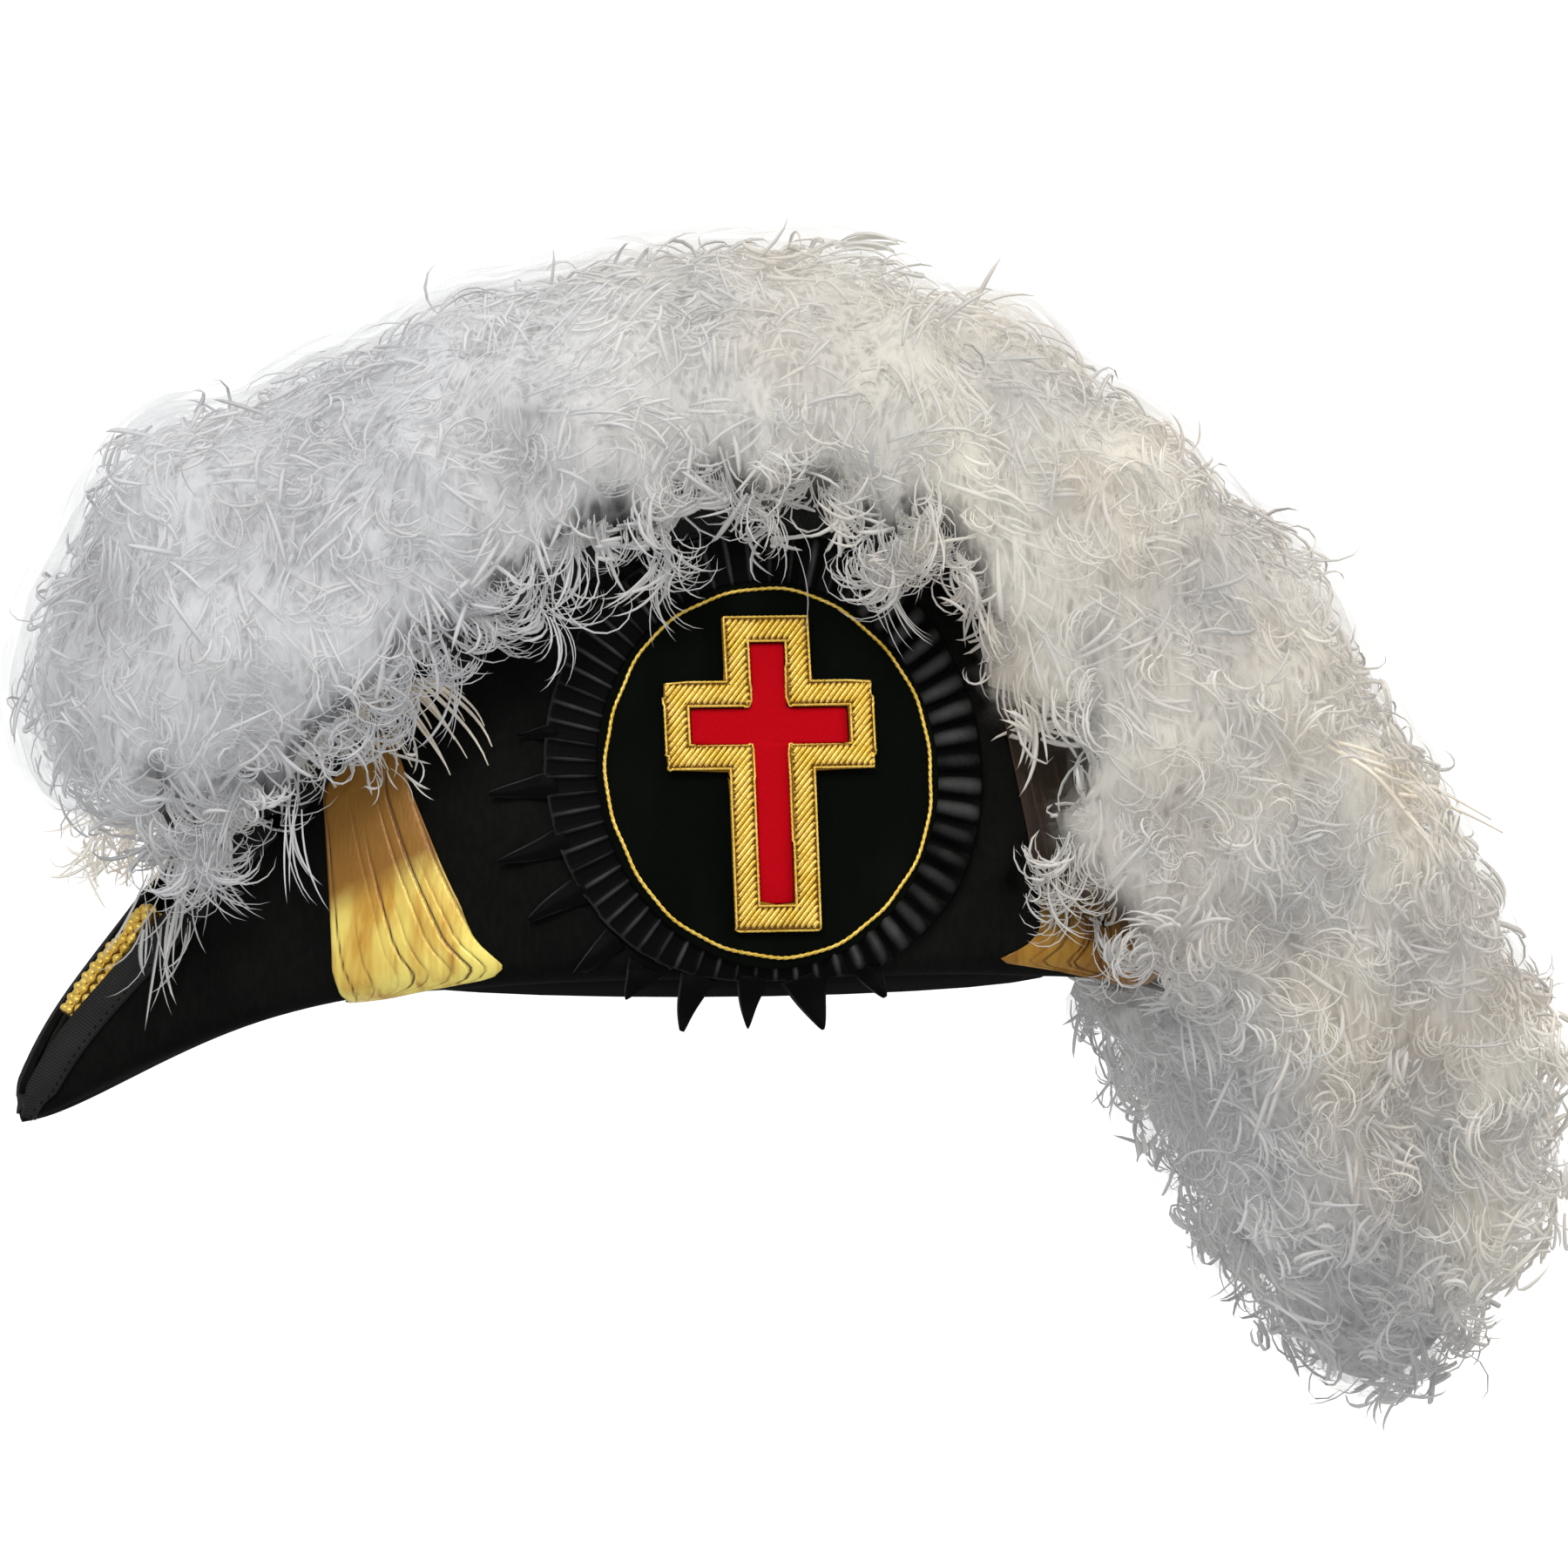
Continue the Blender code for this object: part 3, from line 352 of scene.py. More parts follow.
def binding_finish(settings):
    """Ribbed black ribbon, its ribs set by the distance along the fan's edge."""
    finish = Finish("binding_ribbon", Specular_IOR_Level=0.12)
    along = finish.attribute("along")
    rib = (along * (2 * math.pi / settings.rib)).maths("SINE") * 0.5 + 0.5
    weave = finish.noise(1400.0, 2.0)
    cloud = finish.noise(60.0, 3.0).clipped(0.3, 0.7)
    finish.set(
        Base_Color=finish.blend(cloud * 0.6 + rib * 0.25, settings.ribbon, toned(settings.ribbon, 1.9)),
        Roughness=0.50 + 0.22 * weave,
        Normal=finish.bump(rib * 0.8 + weave * 0.4, 0.00022, 0.8),
    )
    return finish.material


def leather_finish():
    """Plain black leather of the sweatband."""
    finish = Finish("sweatband_leather", Specular_IOR_Level=0.1)
    grain = finish.noise(1100.0, 3.0)
    finish.set(
        Base_Color=finish.blend(grain, (0.006, 0.006, 0.006), (0.012, 0.012, 0.012)),
        Roughness=0.6 + 0.2 * grain,
        Normal=finish.bump(grain, 0.0002, 0.5),
    )
    return finish.material


def thread_finish():
    """Black waxed thread."""
    tones = ((0.001, 0.001, 0.001), (0.008, 0.008, 0.008))
    return mottled("black_thread", tones, 2600.0, 1.0, Roughness=0.6, Specular_IOR_Level=0.1)


def brown_thread_finish():
    """Dull brown thread that holds the cross's cord."""
    return mottled("brown_thread", ((0.10, 0.035, 0.005), (0.03, 0.01, 0.002)), 2000.0, Roughness=0.7)


def lace_finish(settings, name="gold_lace", light=1.0, shadow_dim=1.0):
    """Gold lace: bright metal thread in soft bands, darker and browner towards its top as a painted
    shadow of the plume, with painted shade in its creases, along its edges and in thin fold streaks,
    and painted highlights mixed with random tone in its patches and streaks.

    light dims its bright part, and the last argument dims its painted-shadow part; a lace dimmed so is a
    painted-shade copy. A dimmer lace is also redder.
    """
    finish = Finish(name, Metallic=0.25)
    age = finish.attribute("age")
    crease = finish.attribute("crease")
    patch = finish.noise(30.0, 2.0).clipped(0.36, 0.58)
    cloud = finish.noise(85.0, 4.0)
    streak = finish.noise(170.0, 3.0, finish.scaled(1.0, 1.0, 0.08)).clipped(0.42, 0.58)
    folds = finish.noise(210.0, 2.0, finish.scaled(1.0, 1.0, 0.06)).clipped(0.56, 0.70)
    threads = finish.noise(900.0, 3.0, finish.scaled(1.0, 1.0, 0.12))
    # The upper part carries a painted shadow of the plume, made blotchy by the cloud.
    shadowed = (age + (cloud - 0.5) * 0.7).clipped(0.1, 0.9)
    deep, pale = (
        (tone[0] * light, tone[1] * light ** 1.6, tone[2] * light ** 3)
        for tone in ((0.56, 0.24, 0.010), (1.0, 0.84, 0.20))
    )
    # Patches and streaks between deep and pale gold: random tone of the gold mixed with painted
    # highlights.
    bright = finish.blend(patch * 0.45 + streak * 0.45 + 0.15, deep, pale)
    # Thin streaks darkened as painted shade of folds.
    bright = finish.blend(folds * 0.75, bright, toned((0.42, 0.15, 0.006), light))
    # Under that painted shadow the lace turns to the lace shade.
    shade = finish.blend(shadowed, bright, toned(settings.lace_shade, shadow_dim))
    # Painted shade in the creases and along the band's edges, from the crease mark.
    dark = finish.blend((crease * 1.1 + threads * 0.2).clipped(0.2, 1.0), shade, (0.07, 0.022, 0.002))
    finish.set(
        Base_Color=dark,
        Roughness=0.26 + 0.25 * threads,
        Normal=finish.bump(threads, 0.0003, 0.6),
    )
    return finish.material


def wire_finish(settings, name="gold_wire"):
    """Coiled gold wire, with fine turns and dark gaps."""
    coil = 0.00042
    finish = Finish(name, Metallic=0.6)
    fine = finish.noise(1.0 / coil, 2.0)
    cloud = finish.noise(160.0, 3.0)
    gold = finish.blend(cloud.clipped(0.3, 0.7), settings.wire, (0.95, 0.68, 0.16))
    finish.set(
        Base_Color=finish.blend(fine.clipped(0.56, 0.78), gold, settings.wire_gap),
        Roughness=0.30 + 0.22 * fine,
        Normal=finish.bump(fine, 0.0002, 0.6),
    )
    return finish.material


def backing_finish(settings, name="gold_backing", light=1.0):
    """Dull yellow padding under the wires."""
    tones = (toned(settings.wire_gap, light), toned((0.34, 0.17, 0.018), light))
    return mottled(name, tones, 1500.0, 2.0, Roughness=0.8, Specular_IOR_Level=0.1)


def velvet_finish(settings):
    """Black velvet with a faint green cast."""
    finish = Finish("black_velvet", Roughness=0.95, Specular_IOR_Level=0.03)
    pile = finish.noise(1700.0, 2.0)
    brushed = finish.noise(55.0, 3.0, finish.scaled(1.0, 1.0, 0.4)).clipped(0.45, 0.8)
    pale = toned(settings.velvet, 2.2)
    finish.set(
        Base_Color=finish.blend(brushed * 0.7 + pile * 0.3, settings.velvet, pale),
        Normal=finish.bump(pile, 0.0003, 0.5),
    )
    return finish.material


def pleat_finish(settings):
    """Black ribbon of the pleats, a little paler on its folds: painted highlights."""
    finish = Finish("pleated_ribbon", Specular_IOR_Level=0.04)
    fold = finish.attribute("fold")
    weave = finish.noise(1300.0, 2.0)
    cloud = finish.noise(150.0, 3.0)
    lit = (fold * (0.45 + cloud) + (weave - 0.5) * 0.15).clipped(0.15, 1.0)
    finish.set(
        Base_Color=finish.blend(lit, toned(settings.ribbon, 0.12), toned(settings.ribbon, 4.6)),
        Roughness=0.48 + 0.2 * weave,
        Normal=finish.bump(weave, 0.0002, 0.6),
    )
    return finish.material


def red_finish(settings):
    """Red wool cloth."""
    finish = Finish("red_cloth", Roughness=0.9, Specular_IOR_Level=0.06)
    wool = finish.noise(900.0, 4.0)
    cloud = finish.noise(90.0, 3.0)
    finish.set(
        Base_Color=finish.blend(wool * 0.7 + cloud * 0.3, toned(settings.red, 0.72), settings.red),
        Normal=finish.bump(wool, 0.0003, 0.6),
    )
    return finish.material


def feather_white(finish, plume, light):
    """The plume's white: cool at its front, warm and tan at its rear, with painted shade in the hollows
    and at the tail's lower front side.
    """
    cloud = finish.noise(36.0, 3.0).clipped(0.32, 0.68)
    tan = finish.noise(24.0, 3.0).clipped(0.48, 0.68)
    tones = (plume.cool, plume.warm, plume.tan, plume.hollow)
    cool, warm, brown, hollow = (toned(tone, light) for tone in tones)
    dark = cloud * 0.14 + finish.attribute("deep") * 0.46
    rear = finish.blend(tan * 0.7, warm, brown)
    return finish.blend(dark, finish.blend(finish.attribute("warmth"), cool, rear), hollow)


def feather_finish(plume, name="feather", light=1.0):
    """White flues, with painted shade towards their roots."""
    # The glow is emission: painted light.
    finish = Finish(name, Roughness=0.8, Specular_IOR_Level=0.15, Emission_Strength=plume.glow)
    inward = 1.0 - finish.attribute("along")
    dark = inward * 0.30 + finish.attribute("tone") * 0.22
    shaded = finish.blend(dark, feather_white(finish, plume, light), plume.hollow)
    finish.set(Base_Color=shaded, Emission_Color=shaded)
    return finish.material


def down_finish(plume):
    """The down between the flues: fine threads on a ground darkened as painted shade, and near black
    behind the lower curls as painted shadow.
    """
    # The glow is emission: painted light.
    finish = Finish("feather_down", Roughness=0.85, Specular_IOR_Level=0.1, Emission_Strength=plume.glow)
    threads = finish.threads(120.0, 0.22, 0.7) * 0.5 + finish.threads(210.0, 0.25, -0.5) * 0.5
    # The ground is the plume's white at about half its light: painted shade under the threads.
    ground = feather_white(finish, plume, 0.52)
    white = finish.blend(threads, ground, feather_white(finish, plume, 0.88))
    # Where the lower curls hang, the down turns near black: a painted shadow seen through the gaps
    # between them.
    shaded = finish.blend(finish.attribute("cover").clipped(0.15, 0.75), (0.012, 0.012, 0.013), white)
    finish.set(Base_Color=shaded, Emission_Color=shaded, Normal=finish.bump(threads, 1.2 * MM, 0.6))
    return finish.material


def veil_finish(plume, number, cover):
    """Fine curling threads with nothing between them."""
    # The glow is emission: painted light.
    uniform = {"Roughness": 0.85, "Specular_IOR_Level": 0.1, "Emission_Strength": plume.glow}
    finish = Finish(f"feather_veil_{number}", **uniform)
    threads = finish.threads(100.0, 0.12, 0.9 * number) + finish.threads(190.0, 0.14, 0.4 - 0.8 * number)
    white = feather_white(finish, plume, 0.97)
    alpha = threads.clipped(0.0, 1.0) * finish.attribute("cover") * cover
    finish.set(Base_Color=white, Emission_Color=white, Alpha=alpha)
    return finish.material


def halo_finish(plume, number, cover):
    """The faint outer down, in soft clouds of very fine threads."""
    # The glow is emission: painted light.
    uniform = {"Roughness": 0.9, "Specular_IOR_Level": 0.05, "Emission_Strength": plume.glow}
    finish = Finish(f"feather_halo_{number}", **uniform)
    white = feather_white(finish, plume, 1.0)
    clouds = finish.noise(38.0 + 9.0 * number, 3.0).clipped(0.25, 0.65)
    fuzz = 0.8 + finish.threads(260.0, 0.30, 0.5 + number) * 0.2
    alpha = clouds * fuzz * finish.attribute("cover") * cover
    finish.set(Base_Color=white, Emission_Color=white, Alpha=alpha)
    return finish.material


def quill_finish(settings):
    """Bare pale fibres."""
    return mottled("quill_fibre", (settings.quill, (0.90, 0.86, 0.78)), 260.0, 3.0, Roughness=0.55)


def floor_finish(settings):
    """Pale glowing floor with a trace of unevenness."""
    tones = (toned(settings.floor, 0.985), settings.floor)
    glow = {"Emission_Color": (1.0, 1.0, 0.99), "Emission_Strength": 0.55}
    return mottled("pale_floor", tones, 0.8, 3.0, Roughness=0.9, **glow)


def new_piece(name, mesh, material):
    """A smooth-shaded object for a finished mesh."""
    mesh.name = name
    mesh.materials.clear()
    mesh.materials.append(material)
    mesh.shade_smooth()
    piece = bpy.data.objects.new(name, mesh)
    bpy.context.scene.collection.objects.link(piece)
    return piece


def carry(piece, slot, *nodes):
    """Lets a piece ride on the hat, and stand for the CAD nodes named, which are hidden. slot is not
    used.
    """
    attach(piece, "root")
    if nodes:
        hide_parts(*nodes)
    return piece


@contextlib.contextmanager
def edited(mesh):
    """A mesh as a bmesh that is written back to it afterwards."""
    bm = bmesh.new()
    bm.from_mesh(mesh)
    yield bm
    bm.to_mesh(mesh)
    bm.free()


def merged(node):
    """A bmesh of a CAD node with its loose triangles joined."""
    bm = bmesh.new()
    bm.from_mesh(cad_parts[node].data)
    bmesh.ops.remove_doubles(bm, verts=bm.verts, dist=SEAM)
    flat, shape = math.radians(20), math.radians(50)
    bmesh.ops.join_triangles(bm, faces=bm.faces, angle_face_threshold=flat, angle_shape_threshold=shape)
    return bm


def softened(node, name, material, levels, sharp=50.0):
    """A smooth copy of a CAD node. Its edges of more than sharp degrees are kept."""
    bm = merged(node)
    crease = bm.edges.layers.float.new("crease_edge")
    for edge in bm.edges:
        if edge.is_manifold and edge.calc_face_angle() > math.radians(sharp):
            edge[crease] = 0.9
    mesh = bpy.data.meshes.new(name)
    bm.to_mesh(mesh)
    bm.free()
    piece = new_piece(name, mesh, material)
    surface = piece.modifiers.new("surface", "SUBSURF")
    surface.levels = levels
    surface.render_levels = levels
    return piece


def shown_mesh(piece):
    """The piece's mesh with its modifiers, as a new mesh."""
    graph = bpy.context.evaluated_depsgraph_get()
    return bpy.data.meshes.new_from_object(piece.evaluated_get(graph))


def tree_of(*pieces):
    """A search tree over the shown surfaces of pieces."""
    places, faces = [], []
    for piece in pieces:
        mesh = shown_mesh(piece)
        first = len(places)
        places.extend(vertex.co.copy() for vertex in mesh.vertices)
        faces.extend([first + i for i in face.vertices] for face in mesh.polygons)
        bpy.data.meshes.remove(mesh)
    return BVHTree.FromPolygons(places, faces)


class Wall:
    """Finds places on the outer face of one fan, so that trim lies on the felt."""

    def __init__(self, tree, side):
        self.tree = tree
        self.side = side
        tip_end = BRIM_LOW.x + 9 * MM
        tip = np.arange(BRIM_LOW.x + 0.15 * MM, tip_end, 0.3 * MM)
        rest = np.arange(tip_end, BRIM_HIGH.x - 0.3 * MM, 1.5 * MM)
        self.stations = np.concatenate([tip, rest])
        ends = [self.ends(x) for x in self.stations]
        self.lows = [low for low, _ in ends]
        self.highs = [high for _, high in ends]

    def hit(self, x, z):
        """The place and normal on the felt at x and z, or None beyond it."""
        start = Vector((x, self.side * OUTSIDE, z))
        spot, normal, _, _ = self.tree.ray_cast(start, Vector((0.0, -self.side, 0.0)), OUTSIDE)
        return (spot, normal) if spot else None

    def ends(self, x):
        """The felt's lowest and highest z at x."""
        heights = [z for z in np.arange(BRIM_LOW.z, BRIM_HIGH.z + MM, 2 * MM) if self.hit(x, z)]
        if not heights:
            return BRIM_LOW.z, BRIM_LOW.z
        return self.closed_in(x, heights[0], -2 * MM), self.closed_in(x, heights[-1], 2 * MM)

    def closed_in(self, x, inside, step):
        """The felt's end beyond a height that it holds, found by halving the step."""
        for _ in range(5):
            step /= 2
            if self.hit(x, inside + step):
                inside += step
        return inside

    def low(self, x):
        """The felt's lowest z at x."""
        return float(np.interp(x, self.stations, self.lows))

    def high(self, x):
        """The felt's highest z at x."""
        return float(np.interp(x, self.stations, self.highs))

    def face(self, x, z):
        """The place and normal on the felt nearest above or below x and z."""
        margin = 0.15 * MM
        x = min(max(x, float(self.stations[0])), float(self.stations[-1]))
        z = min(max(z, self.low(x) + margin), self.high(x) - margin)
        for nudge in (0.0, 0.5, -0.5, 1.5, -1.5):
            found = self.hit(x, z + nudge * MM) or self.hit(x + 0.6 * MM, z + nudge * MM)
            if found:
                return found
        return Vector((x, 0.0, z)), Vector((0.0, self.side, 0.0))

    def place(self, x, z, lift, hang=2 * MM):
        """A point over the felt, or straight below it where the felt ends."""
        on_felt = min(max(z, self.low(x) + hang), self.high(x) - 0.2 * MM)
        spot, normal = self.face(x, on_felt)
        if on_felt > z:
            normal = Vector((0.0, self.side, 0.0))
        return Vector((spot.x, spot.y, z if on_felt > z else spot.z)) + normal * lift

    def edge(self, spacing):
        """Points along the fan's edge from the front beak's tip, and the way inwards at each."""
        line = np.array([(x, z) for x, z in zip(self.stations, self.highs)])
        run = np.concatenate([[0.0], np.cumsum(np.linalg.norm(np.diff(line, axis=0), axis=1))])
        marks = np.arange(0.0, run[-1], spacing)
        line = np.stack([np.interp(marks, run, line[:, 0]), np.interp(marks, run, line[:, 1])], axis=1)
        for _ in range(3):
            line[1:-1] = (line[:-2] + line[1:-1] * 2 + line[2:]) / 4
        ahead = np.gradient(line, axis=0)
        for _ in range(6):
            ahead[1:-1] = (ahead[:-2] + ahead[1:-1] + ahead[2:]) / 3
        ahead /= np.linalg.norm(ahead, axis=1)[:, None]
        return line, np.stack([ahead[:, 1], -ahead[:, 0]], axis=1)


class Bundle:
    """Gathers tubes as arrays, to become one piece."""

    def __init__(self):
        self.places = []
        self.faces = []
        self.total = 0

    def tube(self, line, radius, up, sides=8, closed=False, spin=0.0, lobes=0.0, flat=1.0):
        """A tube along a line. spin turns its section on the way, and lobes makes it a twisted cord."""
        line = np.asarray(line, float)
        total = len(line)
        if closed:
            ahead = np.roll(line, -1, axis=0) - np.roll(line, 1, axis=0)
        else:
            ahead = np.gradient(line, axis=0)
        ahead /= np.linalg.norm(ahead, axis=1)[:, None]
        up = np.broadcast_to(np.asarray(up, float), line.shape)
        across = np.cross(ahead, up)
        across /= np.linalg.norm(across, axis=1)[:, None]
        out = np.cross(across, ahead)
        turns = np.arange(sides) * 2 * math.pi / sides
        spins = np.linspace(0.0, spin, total, endpoint=not closed)
        swell = np.broadcast_to(np.asarray(radius, float), total)[:, None]
        swell = swell * (1.0 + lobes * np.cos(2 * (turns[None] - spins[:, None])))
        theta = turns[None] + (spins[:, None] if not lobes else 0.0)
        ring = across[:, None] * (swell * np.cos(theta))[..., None]
        ring = ring + out[:, None] * (swell * np.sin(theta) * flat)[..., None]
        places = (line[:, None] + ring).reshape(-1, 3)
        faces = []
        for k in range(total if closed else total - 1):
            after = (k + 1) % total
            for i in range(sides):
                j = (i + 1) % sides
                faces.append((k * sides + i, after * sides + i, after * sides + j, k * sides + j))
        if not closed:
            faces.append(tuple(range(sides)))
            faces.append(tuple((total - 1) * sides + i for i in reversed(range(sides))))
        self.places.append(places)
        self.faces.extend([self.total + i for i in face] for face in faces)
        self.total += len(places)

    def piece(self, name, material, slot, *nodes):
        """The tubes as one piece of the hat."""
        mesh = bpy.data.meshes.new(name)
        mesh.from_pydata(np.concatenate(self.places), [], self.faces)
        mesh.validate()
        return carry(new_piece(name, mesh, material), slot, *nodes)


def grid_mesh(name, rows, **marks):
    """A sheet laid through a table of points, with a number marked on each point where one is given."""
    bm = bmesh.new()
    bmesh.ops.create_grid(bm, x_segments=len(rows[0]) - 1, y_segments=len(rows) - 1, size=1.0)
    for vertex, spot in zip(bm.verts, (spot for row in rows for spot in row)):
        vertex.co = spot
    mesh = bpy.data.meshes.new(name)
    bm.to_mesh(mesh)
    bm.free()
    for key, table in marks.items():
        mark(mesh, key, [value for row in table for value in row])
    return mesh


def outward(mesh, side):
    """Turns a sheet's faces so that most look to the side given."""
    with edited(mesh) as bm:
        bm.normal_update()
        if sum(face.normal.y * face.calc_area() for face in bm.faces) * side < 0:
            bmesh.ops.reverse_faces(bm, faces=bm.faces)


def thicken(piece, thickness):
    """Gives a sheet its wall, inwards from its face."""
    wall = piece.modifiers.new("wall", "SOLIDIFY")
    wall.thickness = thickness
    wall.offset = -1.0
    return piece


def smooth_step(low, high, value):
    """Rises softly from 0 at low to 1 at high, or falls where high is below low."""
    place = np.clip((value - low) / (high - low), 0.0, 1.0)
    return place * place * (3.0 - 2.0 * place)


def mark(mesh, name, values):
    """Marks a number on each of the mesh's points."""
    layer = mesh.attributes.new(name, "FLOAT", "POINT")
    layer.data.foreach_set("value", np.asarray(values, np.float32))


def make_felt(cloth):
    """Crown and brim as smooth felt."""
    material = felt_finish(cloth)
    for node, levels in (("crown", 1), ("brim", 2)):
        carry(softened(node, node + "_felt", material, levels), "felt", node)


def make_sweatband():
    """A plain black band inside the head opening, over the step between the crown and the brim."""
    tree = tree_of(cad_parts["crown"])
    gap, thickness = 0.6 * MM, 1.2 * MM
    crown_foot = 2.0 * MM
    steps = 120
    rows = []
    for height in (-5.5 * MM, -2.0 * MM, crown_foot, 8.0 * MM, 15.0 * MM):
        level = Vector((0.0, 0.0, max(height, crown_foot)))
        row = []
        for k in range(steps + 1):
            bearing = 2 * math.pi * (k % steps) / steps
            way = Vector((math.cos(bearing), math.sin(bearing), 0.0))
            spot, _, _, reach = tree.ray_cast(level, way)
            if spot is None:
                raise RuntimeError("the crown's inner wall wasn't found")
            row.append(way * (reach - gap) + Vector((0.0, 0.0, height)))
        rows.append(row)
    mesh = grid_mesh("sweatband", rows)
    with edited(mesh) as bm:
        bmesh.ops.remove_doubles(bm, verts=bm.verts, dist=SEAM)
        bm.normal_update()
        if sum(face.normal.dot(face.calc_center_median()) for face in bm.faces) < 0:
            bmesh.ops.reverse_faces(bm, faces=bm.faces)
    carry(thicken(new_piece("sweatband", mesh, leather_finish()), thickness), "binding")


def binding_section(wall, x, z, inward, width):
    """One turn of ribbon: up the outer face, over the edge and down the inner one."""
    lift, tucked = 0.95 * MM, 0.05 * MM
    depths = np.array([1.0, 0.985, 0.88, 0.70, 0.52, 0.34, 0.19]) * width
    outer, inner = [], []
    for depth in depths:
        spot, normal = wall.face(x + inward[0] * depth, z + inward[1] * depth)
        rise = tucked if depth == depths[0] else lift
        outer.append(spot + normal * rise)
        back = spot - normal * (FELT_WALL + rise)
        back.y = wall.side * max(back.y * wall.side, 0.2 * MM)
        inner.append(back)
    over_edge = Vector((-inward[0], 0.0, -inward[1])) * (depths[-1] + 0.55 * MM)
    middle = (outer[-1] + inner[-1]) / 2 + over_edge
    shoulders = [outer[-1] + over_edge * 0.72, middle, inner[-1] + over_edge * 0.72]
    return outer + shoulders + inner[::-1] + outer[:1]


def binding_width(cloth, along):
    """The ribbon's width, narrower at the front beak's tip."""
    return cloth.binding * (0.45 + 0.55 * smooth_step(0.0, 10 * MM, along))


def make_bindings(cloth, walls):
    """Ribbed ribbon folded over both fans' edges and round the beaks, with a row of stitches."""
    material = binding_finish(cloth)
    stitches = Bundle()
    step = 1.2 * MM
    for side, node in ((LEFT, "binding_left"), (RIGHT, "binding_right")):
        wall = walls[side]
        line, inwards = wall.edge(step)
        rows = []
        for k, ((x, z), inward) in enumerate(zip(line, inwards)):
            rows.append(binding_section(wall, x, z, inward, binding_width(cloth, k * step)))
        runs = [[k * step] * len(row) for k, row in enumerate(rows)]
        mesh = grid_mesh(node, rows, along=runs)
        close_up(mesh)
        carry(new_piece(node + "_ribbon", mesh, material), "binding", node)
        sew(stitches, wall, cloth)
    stitches.piece("binding_stitches", thread_finish(), "binding")


def close_up(mesh):
    """Joins a rolled sheet along its seam, fills its ends and turns its faces outwards."""
    with edited(mesh) as bm:
        bmesh.ops.remove_doubles(bm, verts=bm.verts, dist=SEAM)
        bmesh.ops.holes_fill(bm, edges=bm.edges, sides=0)
        bmesh.ops.recalc_face_normals(bm, faces=bm.faces)


def sew(stitches, wall, cloth):
    """Small dark stitches sunk in the binding, a little above its inner edge."""
    line, inwards = wall.edge(cloth.stitch)
    half, from_edge = 0.5 * MM, 1.4 * MM
    for k, ((x, z), (across, up)) in enumerate(zip(line, inwards)):
        depth = binding_width(cloth, k * cloth.stitch) - from_edge
        middle_x, middle_z = x + across * depth, z + up * depth
        if wall.low(middle_x) + MM > middle_z:
            continue
        ends = []
        for end in (-1, 0, 1):
            spot, normal = wall.face(middle_x - up * half * end, middle_z + across * half * end)
            ends.append(spot + normal * 0.95 * MM)
        stitches.tube(ends, [0.16 * MM, 0.32 * MM, 0.16 * MM], (0, wall.side, 0), sides=6)


def band_edges(node, levels):
    """Lowest and highest z of a CAD band, and its front and rear x at each level between them."""
    low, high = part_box(node)
    margin = 0.4 * MM
    fronts, rears = [], []
    bm = merged(node)
    for level in levels:
        z = low.z + margin + (high.z - low.z - 2 * margin) * level
        cut = bm.copy()
        geometry = cut.verts[:] + cut.edges[:] + cut.faces[:]
        sliced = bmesh.ops.bisect_plane(cut, geom=geometry, plane_co=(0, 0, z), plane_no=(0, 0, 1))
        across = [item.co.x for item in sliced["geom_cut"] if isinstance(item, bmesh.types.BMVert)]
        fronts.append(min(across))
        rears.append(max(across))
        cut.free()
    bm.free()
    return low.z, high.z, fronts, rears


class Creases:
    """The folds of one lace band, at random places across it."""

    def __init__(self, rng, total):
        self.middles = (np.arange(total) + rng.uniform(0.15, 0.85, total)) / total
        self.widths = rng.uniform(0.005, 0.012, total)
        self.depths = rng.uniform(0.30, 1.0, total)
        self.tops = rng.uniform(0.45, 1.1, total)
        self.bows = rng.uniform(-0.02, 0.02, total)

    def valley(self, across, rise):
        """How deep the lace is folded in, from 0 to 1, at shares of its width and height."""
        drift = 0.008 * math.sin(9.0 * rise + 4.0 * across)
        bottom = (1.0 - rise) ** 3 * 0.10
        gaps = (across + drift - bottom - self.middles - self.bows * math.sin(5 * rise)) / self.widths
        fade = smooth_step(0.0, 0.35, self.tops - rise)
        # rim sinks the band's edges, and through the crease mark it also darkens them as painted shade.
        rim = 0.45 * math.exp(-across / 0.05) + 0.35 * math.exp((across - 1.0) / 0.05)
        return min(1.0, float(np.sum(np.exp(-gaps * gaps) * self.depths * fade)) + rim * 0.6)


# A lace band: its CAD piece, its random seed, and the shares of its height where it is bright below
# and carries a painted shadow of the plume above. The slant lifts that border at the band's front end.
Band = collections.namedtuple("Band", "node side seed bright_to aged_from slant")
BANDS = (
    Band("lace_front_left", LEFT, 3, 0.38, 0.60, 0.14),
    Band("lace_rear_left", LEFT, 4, -0.04, 0.30, -0.06),
    Band("lace_front_right", RIGHT, 3, 0.38, 0.60, 0.14),
    Band("lace_rear_right", RIGHT, 4, -0.04, 0.30, -0.06),
)


def make_lace(gold, walls):
    """Gold lace bands, creased lengthwise, round the felt at the front and rear of each fan."""
    bright = lace_finish(gold)
    # The rear bands get a dimmer, redder copy of the lace: painted shade of the plume over them.
    shaded_copy = lace_finish(gold, "gold_lace_rear", 0.44, 0.06)
    for band in BANDS:
        mesh = lace_sheet(gold, walls[band.side], band)
        outward(mesh, band.side)
        material = bright if band.node.startswith("lace_front") else shaded_copy
        piece = thicken(new_piece(band.node + "_band", mesh, material), 0.45 * MM)
        carry(piece, "gold_lace", band.node)


